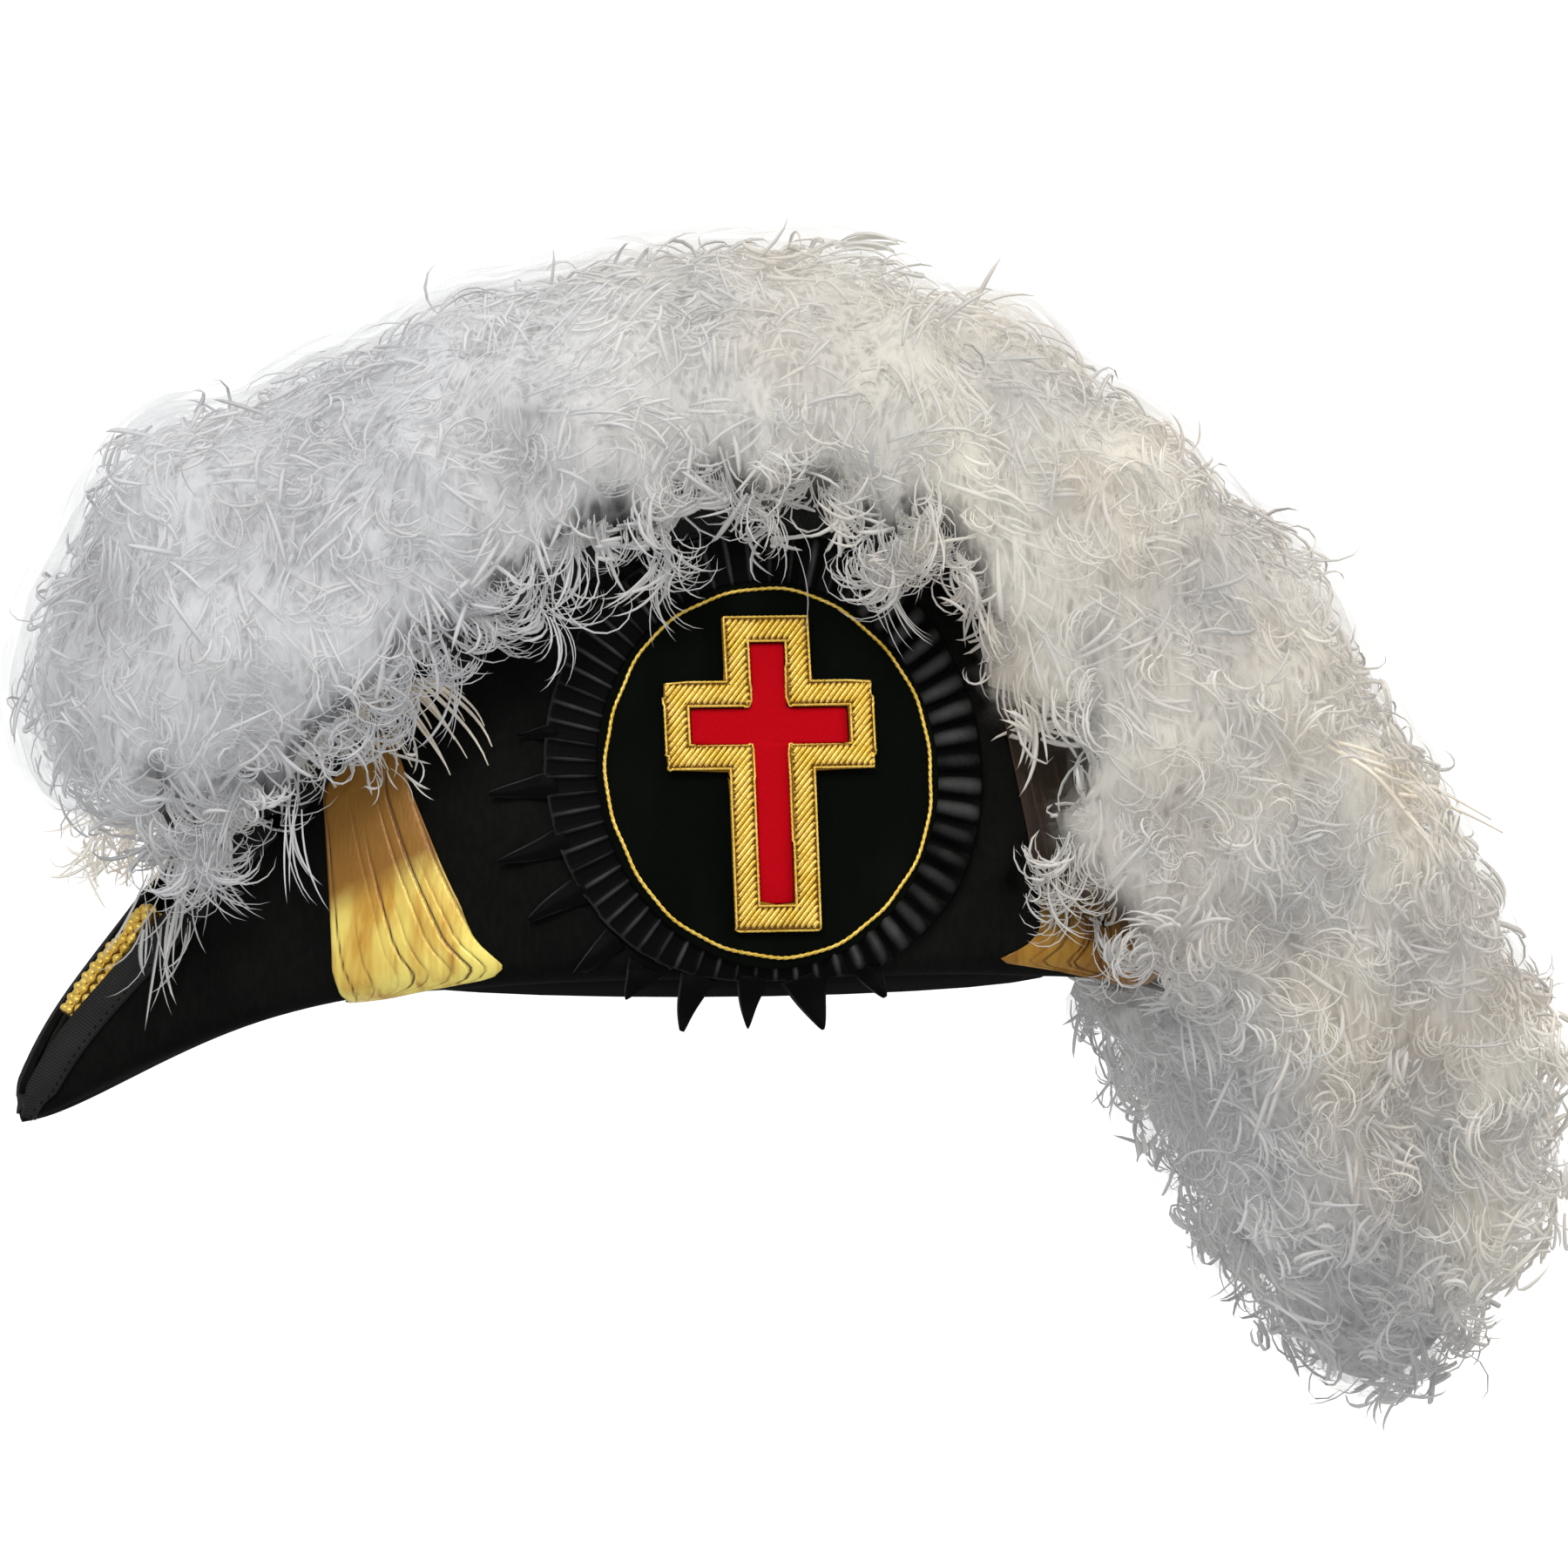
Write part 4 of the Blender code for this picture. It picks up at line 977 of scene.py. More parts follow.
def lace_sheet(gold, wall, band):
    """One band as a sheet over the felt, its folds and its painted plume shadow marked on it."""
    columns, rows = 84, 56
    above_edge, least_lift, pillow_height = 0.9 * MM, 1.0 * MM, 0.5 * MM
    levels = np.linspace(0.0, 1.0, 25)
    low, high, fronts, rears = band_edges(band.node, levels)
    folds = Creases(np.random.default_rng(band.seed), gold.creases)
    spots, creases, plume_shadows = [], [], []
    for j in range(rows):
        rise = (j / (rows - 1)) ** 1.25
        front, rear = np.interp(rise, levels, fronts), np.interp(rise, levels, rears)
        line, sunk = [], []
        for i in range(columns):
            across = i / (columns - 1)
            x = front + (rear - front) * across
            foot = max(low, wall.low(x) + above_edge)
            z = foot + (high - foot) * rise
            valley = folds.valley(across, rise)
            pillow = pillow_height * math.sin(math.pi * across) ** 0.5
            lift = least_lift + pillow - valley * gold.crease_depth
            line.append(wall.place(x, min(z, wall.high(x)), lift, hang=0.0))
            sunk.append(valley)
        spots.append(line)
        creases.append(sunk)
        slanted = rise + band.slant * np.linspace(1.0, 0.0, columns)
        plume_shadows.append(list(smooth_step(band.bright_to, band.aged_from, slanted)))
    return grid_mesh(band.node, spots, crease=creases, age=plume_shadows)


def ring_reach(bearing, margin=0.0):
    """Distance from the rosette's middle to its gold cord, by the bearing from straight down."""
    across = math.sin(bearing) / ((RING_HIGH.x - RING_LOW.x) / 2)
    down = math.cos(bearing) / ((RING_HIGH.z - RING_LOW.z) / 2)
    return 1.0 / math.hypot(across, down) + margin


# A cut ribbon end: x and z where it starts and at its tip, in millimetres, and half its width there
Point = collections.namedtuple("Point", "x z tip_x tip_z half_width")
POINTS = (
    Point(-58.5, 69.0, -69.0, 68.0, 2.6),
    Point(-59.5, 54.5, -77.3, 51.5, 4.2),
    Point(-57.5, 39.5, -76.0, 33.0, 4.4),
    Point(-53.0, 26.0, -68.6, 17.2, 4.4),
    Point(-45.0, 12.5, -56.9, 2.5, 3.8),
    Point(-37.0, 4.5, -42.5, -4.8, 5.4),
    Point(-22.0, 2.0, -27.0, -13.8, 5.2),
    Point(-6.5, 1.5, -8.3, -13.3, 5.0),
    Point(8.0, 1.5, 13.4, -14.0, 7.2),
    Point(26.5, 3.5, 31.6, -5.3, 4.8),
)


def pleat_bearings(rosette, steps):
    """Bearings of the frill's columns: its pleats are narrower at the front than at the rear."""
    table = np.linspace(-math.pi, math.pi, 721)
    phases = rosette.pleats * (table + 0.18 * np.cos(table) + 0.18) / (2 * math.pi)
    return np.interp(np.arange(rosette.pleats * steps) / steps - rosette.pleats / 2, phases, table)


def make_rosette_ribbon(rosette, walls):
    """A frill of pleats round the disc, thin ridges in front and fat folds behind, over cut ends."""
    rng = np.random.default_rng(12)
    wall = walls[LEFT]
    steps, rows = 12, 14
    lift, overhang = 1.7 * MM, 4 * MM
    jumps = rng.uniform(0.7, 1.25, rosette.pleats)
    lights = rng.uniform(0.35, 1.0, rosette.pleats)
    spots, folds = [], []
    for k, bearing in enumerate(pleat_bearings(rosette, steps)):
        pleat, phase = divmod(k / steps, 1.0)
        fat = float(smooth_step(-0.2, 0.7, math.sin(bearing)))
        knife = math.exp(-(((phase - 0.5) / 0.13) ** 2))
        roll = math.sin(math.pi * phase) ** 0.6
        crest = knife * (1.0 - fat) + roll * fat
        below = math.exp(-((bearing / math.radians(34)) ** 2))
        width = rosette.frill * (1.0 - 0.72 * below) + 0.7 * MM * (jumps[int(pleat)] - 1.0)
        inner = ring_reach(bearing, 0.5 * MM)
        outer = ring_reach(bearing, 3 * MM + width)
        line, marks = [], []
        for j in range(rows):
            out = j / (rows - 1)
            radius = inner + (outer - inner) * out
            x = ROSETTE_X + radius * math.sin(bearing)
            z = ROSETTE_Z - radius * math.cos(bearing)
            swell = math.sin(math.pi * min(1.0, 0.08 + out * 0.92)) ** 0.5
            height = rosette.pleat_height * jumps[int(pleat)] * (0.35 + 0.75 * fat) * crest * swell
            line.append(wall.place(x, z, lift + height, overhang))
            # The fold mark holds painted highlights, on the pleats' crests and along the frill's outer
            # edge.
            edge_light = 0.5 * float(smooth_step(0.90, 1.0, out)) * (1.0 - fat)
            lit = crest ** (1.3 + 2.0 * fat) * swell * lights[int(pleat)]
            marks.append(min(1.0, lit + edge_light))
        spots.append(line)
        folds.append(marks)
    mesh = grid_mesh("rosette_frill", spots + spots[:1], fold=folds + folds[:1])
    with edited(mesh) as bm:
        bmesh.ops.remove_doubles(bm, verts=bm.verts, dist=SEAM)
    outward(mesh, LEFT)
    material = pleat_finish(rosette)
    piece = thicken(new_piece("rosette_frill", mesh, material), PLEAT_WALL)
    carry(piece, "binding", "rosette_ribbon")
    for n, point in enumerate(POINTS):
        carry(make_point(wall, point, rng, material, n), "binding")


def make_point(wall, point, rng, material, number):
    """One cut end of ribbon, folded lengthwise and tucked under the frill, with painted highlights on
    its edges.
    """
    root = Vector((point.x, point.z)) * MM
    run = Vector((point.tip_x, point.tip_z)) * MM - root
    aside = Vector((-run.y, run.x)).normalized() * point.half_width * MM
    bow = rng.uniform(-0.12, 0.12)
    blunt = rng.uniform(0.03, 0.16)
    spots, folds = [], []
    for out in np.linspace(0.0, 1.0, 16):
        line, marks = [], []
        for across in (-1.0, -0.90, -0.78, -0.3, 0.0, 0.3, 0.78, 0.90, 1.0):
            wide = (1.0 - out) ** 0.85 * (1.0 - blunt) + blunt
            spot = root + run * out + aside * (across * wide + bow * math.sin(math.pi * out))
            ridge = 1.3 * MM * (1.0 - abs(across)) * (1.0 - 0.6 * out)
            curl = 0.9 * MM * out * out + 0.5 * MM * math.sin(7 * out + number)
            line.append(wall.place(spot.x, spot.y, 1.0 * MM + ridge + curl, hang=4 * MM))
            # The fold mark holds painted highlights along the end's edges, brighter on one side.
            rim = float(smooth_step(0.72, 0.90, abs(across)))
            marks.append(rim * (0.25 + 0.75 * out) * (0.8 if across < 0 else 0.35))
        spots.append(line)
        folds.append(marks)
    mesh = grid_mesh("rosette_end", spots, fold=folds)
    outward(mesh, LEFT)
    return thicken(new_piece(f"rosette_end_{number + 1}", mesh, material), PLEAT_WALL)


def make_rosette_disc(rosette):
    """The padded velvet disc."""
    disc = softened("rosette_disc", "rosette_velvet", velvet_finish(rosette), 2)
    carry(disc, "velvet", "rosette_disc")
    return disc


def over(tree, x, z, lift):
    """A point over what the tree holds, seen from the left side."""
    spot, normal, _, _ = tree.ray_cast(Vector((x, -OUTSIDE, z)), Vector((0, 1, 0)), OUTSIDE)
    return spot + normal * lift if spot else None


def make_ring(rosette, gold, badge_tree):
    """The gold cord round the disc, laid as two twisted strands."""
    columns, turns = 900, 75
    line = []
    for bearing in np.linspace(-math.pi, math.pi, columns, endpoint=False):
        wander = 0.25 * MM * math.sin(7 * bearing) + 0.15 * MM * math.sin(19 * bearing + 1)
        reach = ring_reach(bearing, wander - rosette.cord / 2)
        x = ROSETTE_X + reach * math.sin(bearing)
        z = ROSETTE_Z - reach * math.cos(bearing)
        line.append(over(badge_tree, x, z, 0.4 * rosette.cord))
    cord = Bundle()
    cord.tube(line, rosette.cord / 2, LEFTWARDS, closed=True, spin=2 * turns * math.pi, lobes=0.2)
    cord.piece("rosette_cord", wire_finish(gold, "cord_gold"), "gold_bullion", "rosette_ring")


class Cross:
    """The outline of the cross in x and z, from its border's box."""

    arm_drop = 17.9 * MM
    bar = 24.5 * MM
    border = 7.0 * MM

    def __init__(self):
        self.middle = (BORDER_LOW.x + BORDER_HIGH.x) / 2
        self.half = (BORDER_HIGH.x - BORDER_LOW.x) / 2
        self.top = BORDER_HIGH.z
        self.foot = BORDER_LOW.z

    def holds(self, x, z, inset):
        """True inside the outline, drawn in by the inset."""
        x = abs(x - self.middle)
        stem = x < self.bar / 2 - inset and self.foot + inset < z < self.top - inset
        high = self.top - self.arm_drop - inset
        arms = x < self.half - inset and high - self.bar + 2 * inset < z < high
        return stem or arms

    def outline(self, inset):
        """Corners, clockwise from the top right as seen from the left side."""
        stem, arm = self.bar / 2 - inset, self.half - inset
        top, foot = self.top - inset, self.foot + inset
        high = self.top - self.arm_drop - inset
        low = self.top - self.arm_drop - self.bar + inset
        right = [(stem, top), (stem, high), (arm, high), (arm, low), (stem, low), (stem, foot)]
        return [(self.middle + x, z) for x, z in right + [(-x, z) for x, z in reversed(right)]]


def make_cross(rosette, gold):
    """Red cloth cross in a border of slanted gold wires, edged with cord and stitched down."""
    cross = Cross()
    base = softened("cross_border", "cross_padding", backing_finish(gold), 1, 30.0)
    carry(base, "gold_bullion", "cross_border")
    field = softened("cross_field", "cross_cloth", red_finish(rosette), 2, 30.0)
    carry(field, "red_cloth", "cross_field")
    tree = tree_of(base, field)
    fill_border(cross, tree, gold)
    edge_border(cross, tree, gold)


def fill_border(cross, tree, gold):
    """Slanted wires over the border, each from one of its edges to the other."""
    rng = np.random.default_rng(5)
    slant = math.radians(50)
    run = Vector((math.cos(slant), math.sin(slant)))
    step = 0.15 * MM
    span = cross.top - cross.foot + 2 * cross.half
    wires = Bundle()
    for k in range(int(2 * span / gold.wire_spacing)):
        offset = -span + k * gold.wire_spacing
        start = Vector((cross.middle, cross.foot)) + Vector((-run.y, run.x)) * offset - run * span
        inside = []
        for i in range(int(3 * span / step)):
            spot = start + run * (i * step)
            held = cross.holds(spot.x, spot.y, 0.7 * MM)
            if held and not cross.holds(spot.x, spot.y, cross.border - 0.5 * MM):
                inside.append(spot)
            elif inside:
                lay_wire(wires, tree, inside, gold.wire_spacing, rng)
                inside = []
    wires.piece("cross_wires", wire_finish(gold), "gold_bullion")


def edge_border(cross, tree, gold):
    """Twisted cord along both of the border's edges, and small brown stitches beside it."""
    edges, stitches = Bundle(), Bundle()
    lift, nudge = 0.30 * MM, 0.98
    for inset in (0.25 * MM, cross.border - 0.15 * MM):
        line = around(cross.outline(inset), 0.45 * MM)
        laid = [over(tree, x, z, lift) or over(tree, x * nudge, z, lift) for x, z in line]
        laid = [spot for spot in laid if spot]
        edges.tube(laid, 0.36 * MM, LEFTWARDS, sides=6, closed=True, spin=len(laid) * 0.9, lobes=0.2)
    edges.piece("cross_cord", wire_finish(gold, "edge_gold"), "gold_bullion")
    half, thin, thick = 0.22 * MM, 0.10 * MM, 0.24 * MM
    for inset in (0.95 * MM, cross.border - 0.85 * MM):
        for x, z in around(cross.outline(inset), 1.7 * MM):
            spot = over(tree, x, z, 0.62 * MM)
            if spot:
                ends = [spot + Vector((half * end, 0, half * end)) for end in (-1, 0, 1)]
                stitches.tube(ends, [thin, thick, thin], LEFTWARDS, sides=5)
    stitches.piece("cross_stitches", brown_thread_finish(), "gold_bullion")


def around(corners, spacing):
    """Evenly spaced points along a closed outline."""
    points = []
    for (x, z), (next_x, next_z) in zip(corners, corners[1:] + corners[:1]):
        pieces = max(1, round(math.hypot(next_x - x, next_z - z) / spacing))
        points += [(x + (next_x - x) * i / pieces, z + (next_z - z) * i / pieces) for i in range(pieces)]
    return points


# A wire's thickness, as a share of its greatest, at shares of its length
WIRE_FORM = (
    (0.0, 0.15),
    (0.04, 0.62),
    (0.14, 0.95),
    (0.4, 1.0),
    (0.6, 1.0),
    (0.86, 0.95),
    (0.96, 0.62),
    (1.0, 0.15),
)


def lay_wire(wires, tree, inside, spacing, rng):
    """One coiled wire laid over the padding, rounded at its ends."""
    if len(inside) < 3:
        return
    line, radii = [], []
    size = spacing * rng.uniform(0.47, 0.53)
    for place, swell in WIRE_FORM:
        spot = inside[round(place * (len(inside) - 1))]
        laid = over(tree, spot.x, spot.y, 0.12 * MM)
        if laid and (not line or (laid - line[-1]).length > 0.02 * MM):
            line.append(laid)
            radii.append(size * swell)
    if len(line) > 2:
        wires.tube(line, radii, LEFTWARDS, flat=0.85)


def make_tassel(gold):
    """Rows of bullion beads over both faces of the tassel, on a core darkened as painted shade between
    the beads.
    """
    tree = tree_of(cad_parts["tassel_front"])
    head = Vector((TASSEL_HIGH.x, 0.0, TASSEL_HIGH.z))
    foot = Vector((TASSEL_LOW.x, 0.0, TASSEL_LOW.z))
    run = (foot - head).normalized()
    above = Vector((run.z, 0.0, -run.x))
    if above.z < 0:
        above = -above
    bead, thickest = 3.6 * MM, 1.75 * MM
    strands = Bundle()
    for face in (1, -1):
        for row, share_across in enumerate(np.linspace(-0.80, 0.80, 5)):
            line, radii = [], []
            offset = 0.5 if row % 2 else 0.0
            for along in np.linspace(0.02, 0.98, 130):
                middle = head.lerp(foot, along)
                found = tassel_spot(tree, middle, above * face, share_across)
                if found:
                    line.append(found)
                    beat = abs(math.sin(math.pi * (along * (foot - head).length / bead + offset)))
                    radii.append((0.12 + 0.88 * beat ** 0.9) * thickest)
            if len(line) > 8:
                strands.tube(line, radii, above * face, sides=6)
    strands.piece("tassel_strands", wire_finish(gold, "strand_gold"), "gold_bullion", "tassel_front")
    # The core is the padding at 0.3 of its light: painted shade seen between the beads.
    core = softened("tassel_front", "tassel_core", backing_finish(gold, "tassel_dark", 0.3), 1)
    carry(core, "gold_bullion")


def tassel_spot(tree, middle, above, share_across):
    """A place on the tassel's upper or lower face, at a share of its width there."""
    reach = 0.03
    start = Vector((middle.x, -reach, middle.z))
    side, _, _, _ = tree.ray_cast(start, Vector((0, 1, 0)), reach)
    if side is None:
        return None
    start = Vector((middle.x, side.y * share_across, middle.z)) + above * reach
    spot, normal, _, _ = tree.ray_cast(start, -above, 2 * reach)
    return spot - normal * 0.3 * MM if spot else None


def places_of(mesh, key="co"):
    """The places of a mesh's points as rows of an array, or their normals."""
    values = np.empty(len(mesh.vertices) * 3)
    mesh.vertices.foreach_get(key, values)
    return values.reshape(-1, 3)


def push(bm, moves):
    """Moves every point of a bmesh by a vector of its own."""
    for vertex, move in zip(bm.verts, moves):
        vertex.co += move


def smooth_out(bm, times):
    """Smooths a bmesh all over, and sets its normals anew."""
    every_way = {"use_axis_x": True, "use_axis_y": True, "use_axis_z": True}
    for _ in range(times):
        bmesh.ops.smooth_vert(bm, verts=bm.verts, factor=0.5, **every_way)
    bm.normal_update()


# Curls of the plume heaped over the rear lace: x and z of the middle, and the size across and up
Heap = collections.namedtuple("Heap", "x z across up")
HEAPS = (
    Heap(0.077, 0.083, 0.020, 0.016),
    Heap(0.090, 0.027, 0.032, 0.020),
    Heap(0.110, 0.008, 0.027, 0.014),
)


def plume_core(material, wall):
    """The plume's solid with its side heaps, remeshed evenly and raised in lumps under the flues."""
    rough = softened("plume", "plume_rough", material, 1, 180.0)
    heap_depth = 13 * MM
    with edited(rough.data) as bm:
        for heap in HEAPS:
            spot, normal = wall.face(heap.x, heap.z)
            size = Matrix.Diagonal((heap.across, heap_depth, heap.up, 1.0))
            middle = Matrix.Translation(spot + normal * 6 * MM)
            bmesh.ops.create_icosphere(bm, subdivisions=3, radius=1.0, matrix=middle @ size)
    remesh = rough.modifiers.new("even", "REMESH")
    remesh.mode = "VOXEL"
    remesh.voxel_size = 4.5 * MM
    mesh = shown_mesh(rough)
    bpy.data.objects.remove(rough)
    lump_height, drawn_in = 4.5 * MM, 1.5 * MM
    with edited(mesh) as bm:
        smooth_out(bm, 4)
        push(bm, [vertex.normal * -4.5 * MM for vertex in bm.verts])
        smooth_out(bm, 2)
        lumps = lumps_at([vertex.co for vertex in bm.verts])
        heights = [lump_height * float(lump) - drawn_in for lump in lumps]
        push(bm, [vertex.normal * height for vertex, height in zip(bm.verts, heights)])
    return mesh


def cover_at(lower, spots):
    """0 along the plume's lower edge on the hat's near side, where only curls hang, and 1 elsewhere."""
    x, y, z = np.asarray(spots).T
    rise = z - np.interp(x, lower.stations, lower.lows)
    near_side = smooth_step(-0.015, -0.032, y)
    over_hat = smooth_step(-0.182, -0.162, x) * smooth_step(0.128, 0.108, x) * near_side
    rear_rim = smooth_step(0.100, 0.074, x) * smooth_step(0.084, 0.066, z)
    rear_rim = rear_rim * smooth_step(0.03, 0.05, x) * near_side
    return (1.0 - over_hat * (1.0 - smooth_step(3 * MM, 28 * MM, rise))) * (1.0 - rear_rim)


def lumps_at(spots):
    """The plume's soft locks: 1 on their crowns and -1 in the hollows between them."""
    stretch = Vector((1.0, 0.8, 0.75))
    lumps = []
    for spot in spots:
        place = Vector(spot) * stretch
        wide = noise.noise(place * 34.0)
        fine = noise.noise(place * 80.0 + Vector((3.0, 0.0, 0.0)))
        lumps.append(1.6 * wide + 0.9 * fine)
    return np.clip(lumps, -1.0, 1.0)


def low_tail(spots):
    """0 over most of the plume, rising to 1 at the tail's lower front side."""
    x, _, z = np.asarray(spots).T
    across = 0.82 * (x - 0.109) + 0.573 * (z + 0.008)
    return smooth_step(0.050, 0.0, across) * smooth_step(0.03, -0.02, z)


def deep_at(spots):
    """How dark the painted shade on the plume is: darker in its hollows and at the tail's lower front
    side.
    """
    hollows = 0.5 - 0.5 * lumps_at(spots)
    stronger = 1.0 + 0.5 * smooth_step(0.02, 0.10, np.asarray(spots)[:, 0])
    return np.clip(0.55 * low_tail(spots) + hollows ** 1.3 * stronger, 0.0, 1.4)


def warmth_at(spots):
    """0 at the front, where the white is cool, rising to 1 at the rear but for the tail's front."""
    return smooth_step(-0.10, 0.06, spots[:, 0]) * (1.0 - 0.65 * low_tail(spots))


class Surface:
    """Picks places on a mesh by area, with the smooth normal at each."""

    def __init__(self, mesh, lower):
        mesh.calc_loop_triangles()
        corners = np.empty(len(mesh.loop_triangles) * 3, np.int32)
        mesh.loop_triangles.foreach_get("vertices", corners)
        corners = corners.reshape(-1, 3)
        self.places = places_of(mesh)[corners]
        self.normals = places_of(mesh, "normal")[corners]
        sides = self.places[:, 1:] - self.places[:, :1]
        self.areas = np.linalg.norm(np.cross(sides[:, 0], sides[:, 1]), axis=1) / 2
        self.middles = self.places.mean(axis=1)
        self.facing = self.normals.mean(axis=1)
        self.cover = cover_at(lower, self.middles)

    def pick(self, rng, total, weight):
        """Random places and their normals. weight is one number for each triangle."""
        odds = self.areas * weight
        chosen = rng.choice(len(odds), total, p=odds / odds.sum())
        shares = rng.dirichlet((1.0, 1.0, 1.0), total)[..., None]
        places = (self.places[chosen] * shares).sum(axis=1)
        return places, unit((self.normals[chosen] * shares).sum(axis=1))


def unit(vectors):
    """The directions of vectors, each of length one."""
    return vectors / np.maximum(np.linalg.norm(vectors, axis=-1, keepdims=True), 1e-9)


def flue_lines(roots, starts, axes, lengths, curls, steps, growth=1.5):
    """The middle lines of curled flues, and the way that each step of them runs."""
    shares = np.linspace(0.0, 1.0, steps + 1)
    turned = curls[:, None] * shares[:-1] ** growth
    swing = np.cross(axes, starts)
    ways = starts[:, None] * np.cos(turned)[..., None] + swing[:, None] * np.sin(turned)[..., None]
    steps_taken = ways * (lengths / steps)[:, None, None]
    reached = np.concatenate([np.zeros((len(roots), 1, 3)), steps_taken.cumsum(axis=1)], axis=1)
    return roots[:, None] + reached, ways


def flue_mesh(name, lines, ways, axes, widths, marks):
    """Tapered three-sided flues joined in one mesh."""
    total, steps = ways.shape[:2]
    shares = np.linspace(0.0, 1.0, steps + 1)
    taper = 0.55 + 0.45 * np.sin(math.pi * shares[:-1]) - 0.35 * shares[:-1] ** 2
    half = widths[:, None, None] * taper[None, :, None] / 2
    flat = axes[:, None] * half
    rise = np.cross(ways, axes[:, None]) * half * 0.5
    rings = lines[:, :-1, None] + np.stack([flat, rise, -flat], axis=2)
    places = np.concatenate([rings.reshape(total, steps * 3, 3), lines[:, -1:]], axis=1)
    each = steps * 3 + 1
    quads = [
        (3 * k + i, 3 * k + (i + 1) % 3, 3 * k + 3 + (i + 1) % 3, 3 * k + 3 + i)
        for k in range(steps - 1)
        for i in range(3)
    ]
    last = 3 * (steps - 1)
    threes = [(last + i, last + (i + 1) % 3, each - 1) for i in range(3)] + [(2, 1, 0)]
    first = (np.arange(total) * each)[:, None, None]
    quads = (np.array(quads)[None] + first).reshape(-1, 4)
    threes = (np.array(threes)[None] + first).reshape(-1, 3)
    corners = np.concatenate([quads.ravel(), threes.ravel()])
    starts = np.concatenate([np.arange(len(quads)) * 4, quads.size + np.arange(len(threes)) * 3])
    mesh = bpy.data.meshes.new(name)
    mesh.vertices.add(total * each)
    mesh.vertices.foreach_set("co", places.reshape(-1).astype(np.float32))
    mesh.loops.add(len(corners))
    mesh.loops.foreach_set("vertex_index", corners.astype(np.int32))
    mesh.polygons.add(len(starts))
    mesh.polygons.foreach_set("loop_start", starts.astype(np.int32))
    mesh.update(calc_edges=True)
    along = np.concatenate([np.repeat(shares[:-1], 3), [1.0]])
    mark(mesh, "along", np.tile(along, total))
    for key, values in marks.items():
        mark(mesh, key, np.repeat(values, each))
    return mesh


def clear_of(tree, lines):
    """True for the flues that don't pass through what the tree holds."""
    keep = np.ones(len(lines), bool)
    for n, line in enumerate(lines):
        for first, last in ((0, len(line) // 2), (len(line) // 2, len(line) - 1)):
            start, end = Vector(line[first]), Vector(line[last])
            way = end - start
            if tree.ray_cast(start, way.normalized(), way.length)[0] is not None:
                keep[n] = False
                break
    return keep


class Flues:
    """A batch of flues: their middle lines, the way they run, and their widths and tones."""

    def __init__(self, rng, roots, starts, axes, lengths, curls, widths, steps, growth=1.5):
        self.roots = roots
        self.axes = axes
        self.widths = widths
        self.lines, self.ways = flue_lines(roots, starts, axes, lengths, curls, steps, growth)
        total = len(roots)
        self.warmth = np.clip(warmth_at(roots) + rng.normal(0, 0.15, total), 0, 1)
        self.tone = rng.random(total)
        self.deep = deep_at(roots)

    def piece(self, name, keep, material):
        """The flues to keep, as one piece of the hat."""
        marks = {"warmth": self.warmth[keep], "tone": self.tone[keep], "deep": self.deep[keep]}
        form = (self.lines[keep], self.ways[keep], self.axes[keep], self.widths[keep])
        mesh = flue_mesh(name, *form, marks)
        return carry(new_piece(name, mesh, material), "feather")


def across_starts(rng, starts, axes, loose=0.45):
    """Axes made square to the flues' starts, each a little off."""
    axes = axes + loose * rng.normal(size=axes.shape)
    axes -= starts * (axes * starts).sum(axis=1, keepdims=True)
    return unit(axes)


def either_way(rng, total):
    """1 or -1 by chance."""
    return np.where(rng.random(total) < 0.5, 1.0, -1.0)


def along_surface(ways, normals):
    """Ways laid flat along the surface."""
    return unit(ways - normals * (ways * normals).sum(axis=1, keepdims=True))


def soft_flues(plume, rng, surface):
    """The plume's soft cover, lying in tufts that curl back on it."""
    near = (1.0 + 1.1 * smooth_step(0.02, -0.04, surface.middles[:, 1])) * surface.cover ** 1.5
    total, tuft_count = plume.flues, 900
    roots, normals = surface.pick(rng, total, near)
    tufts, tuft_normals = surface.pick(rng, tuft_count, near)
    nearest = np.concatenate([
        np.argmin(((part[:, None] - tufts[None]) ** 2).sum(axis=2), axis=1)
        for part in np.array_split(roots, 40)
    ])
    flow = np.array([0.25, 0.0, -0.35])
    lean = along_surface(unit(rng.normal(size=(len(tufts), 3))) + flow, tuft_normals)
    starts = 0.30 * normals + 0.90 * lean[nearest] + 12.0 * (roots - tufts[nearest])
    starts = unit(starts + 0.20 * rng.normal(size=(total, 3)))
    lengths = plume.short + (plume.long - plume.short) * rng.beta(1.6, 2.2, total)
    curls = np.radians(rng.uniform(40, 130, total) + 70 * rng.random(len(tufts))[nearest])
    axes = across_starts(rng, starts, np.cross(starts, -normals))
    widths = plume.width * rng.uniform(0.55, 1.2, total)
    roots = roots + normals * (rng.uniform(0.0, 7.0, total) * MM)[:, None]
    flues = Flues(rng, roots, starts, axes, lengths, curls, widths, 5)
    flues.tone = 0.6 * rng.random(len(tufts))[nearest] + 0.4 * flues.tone
    return flues


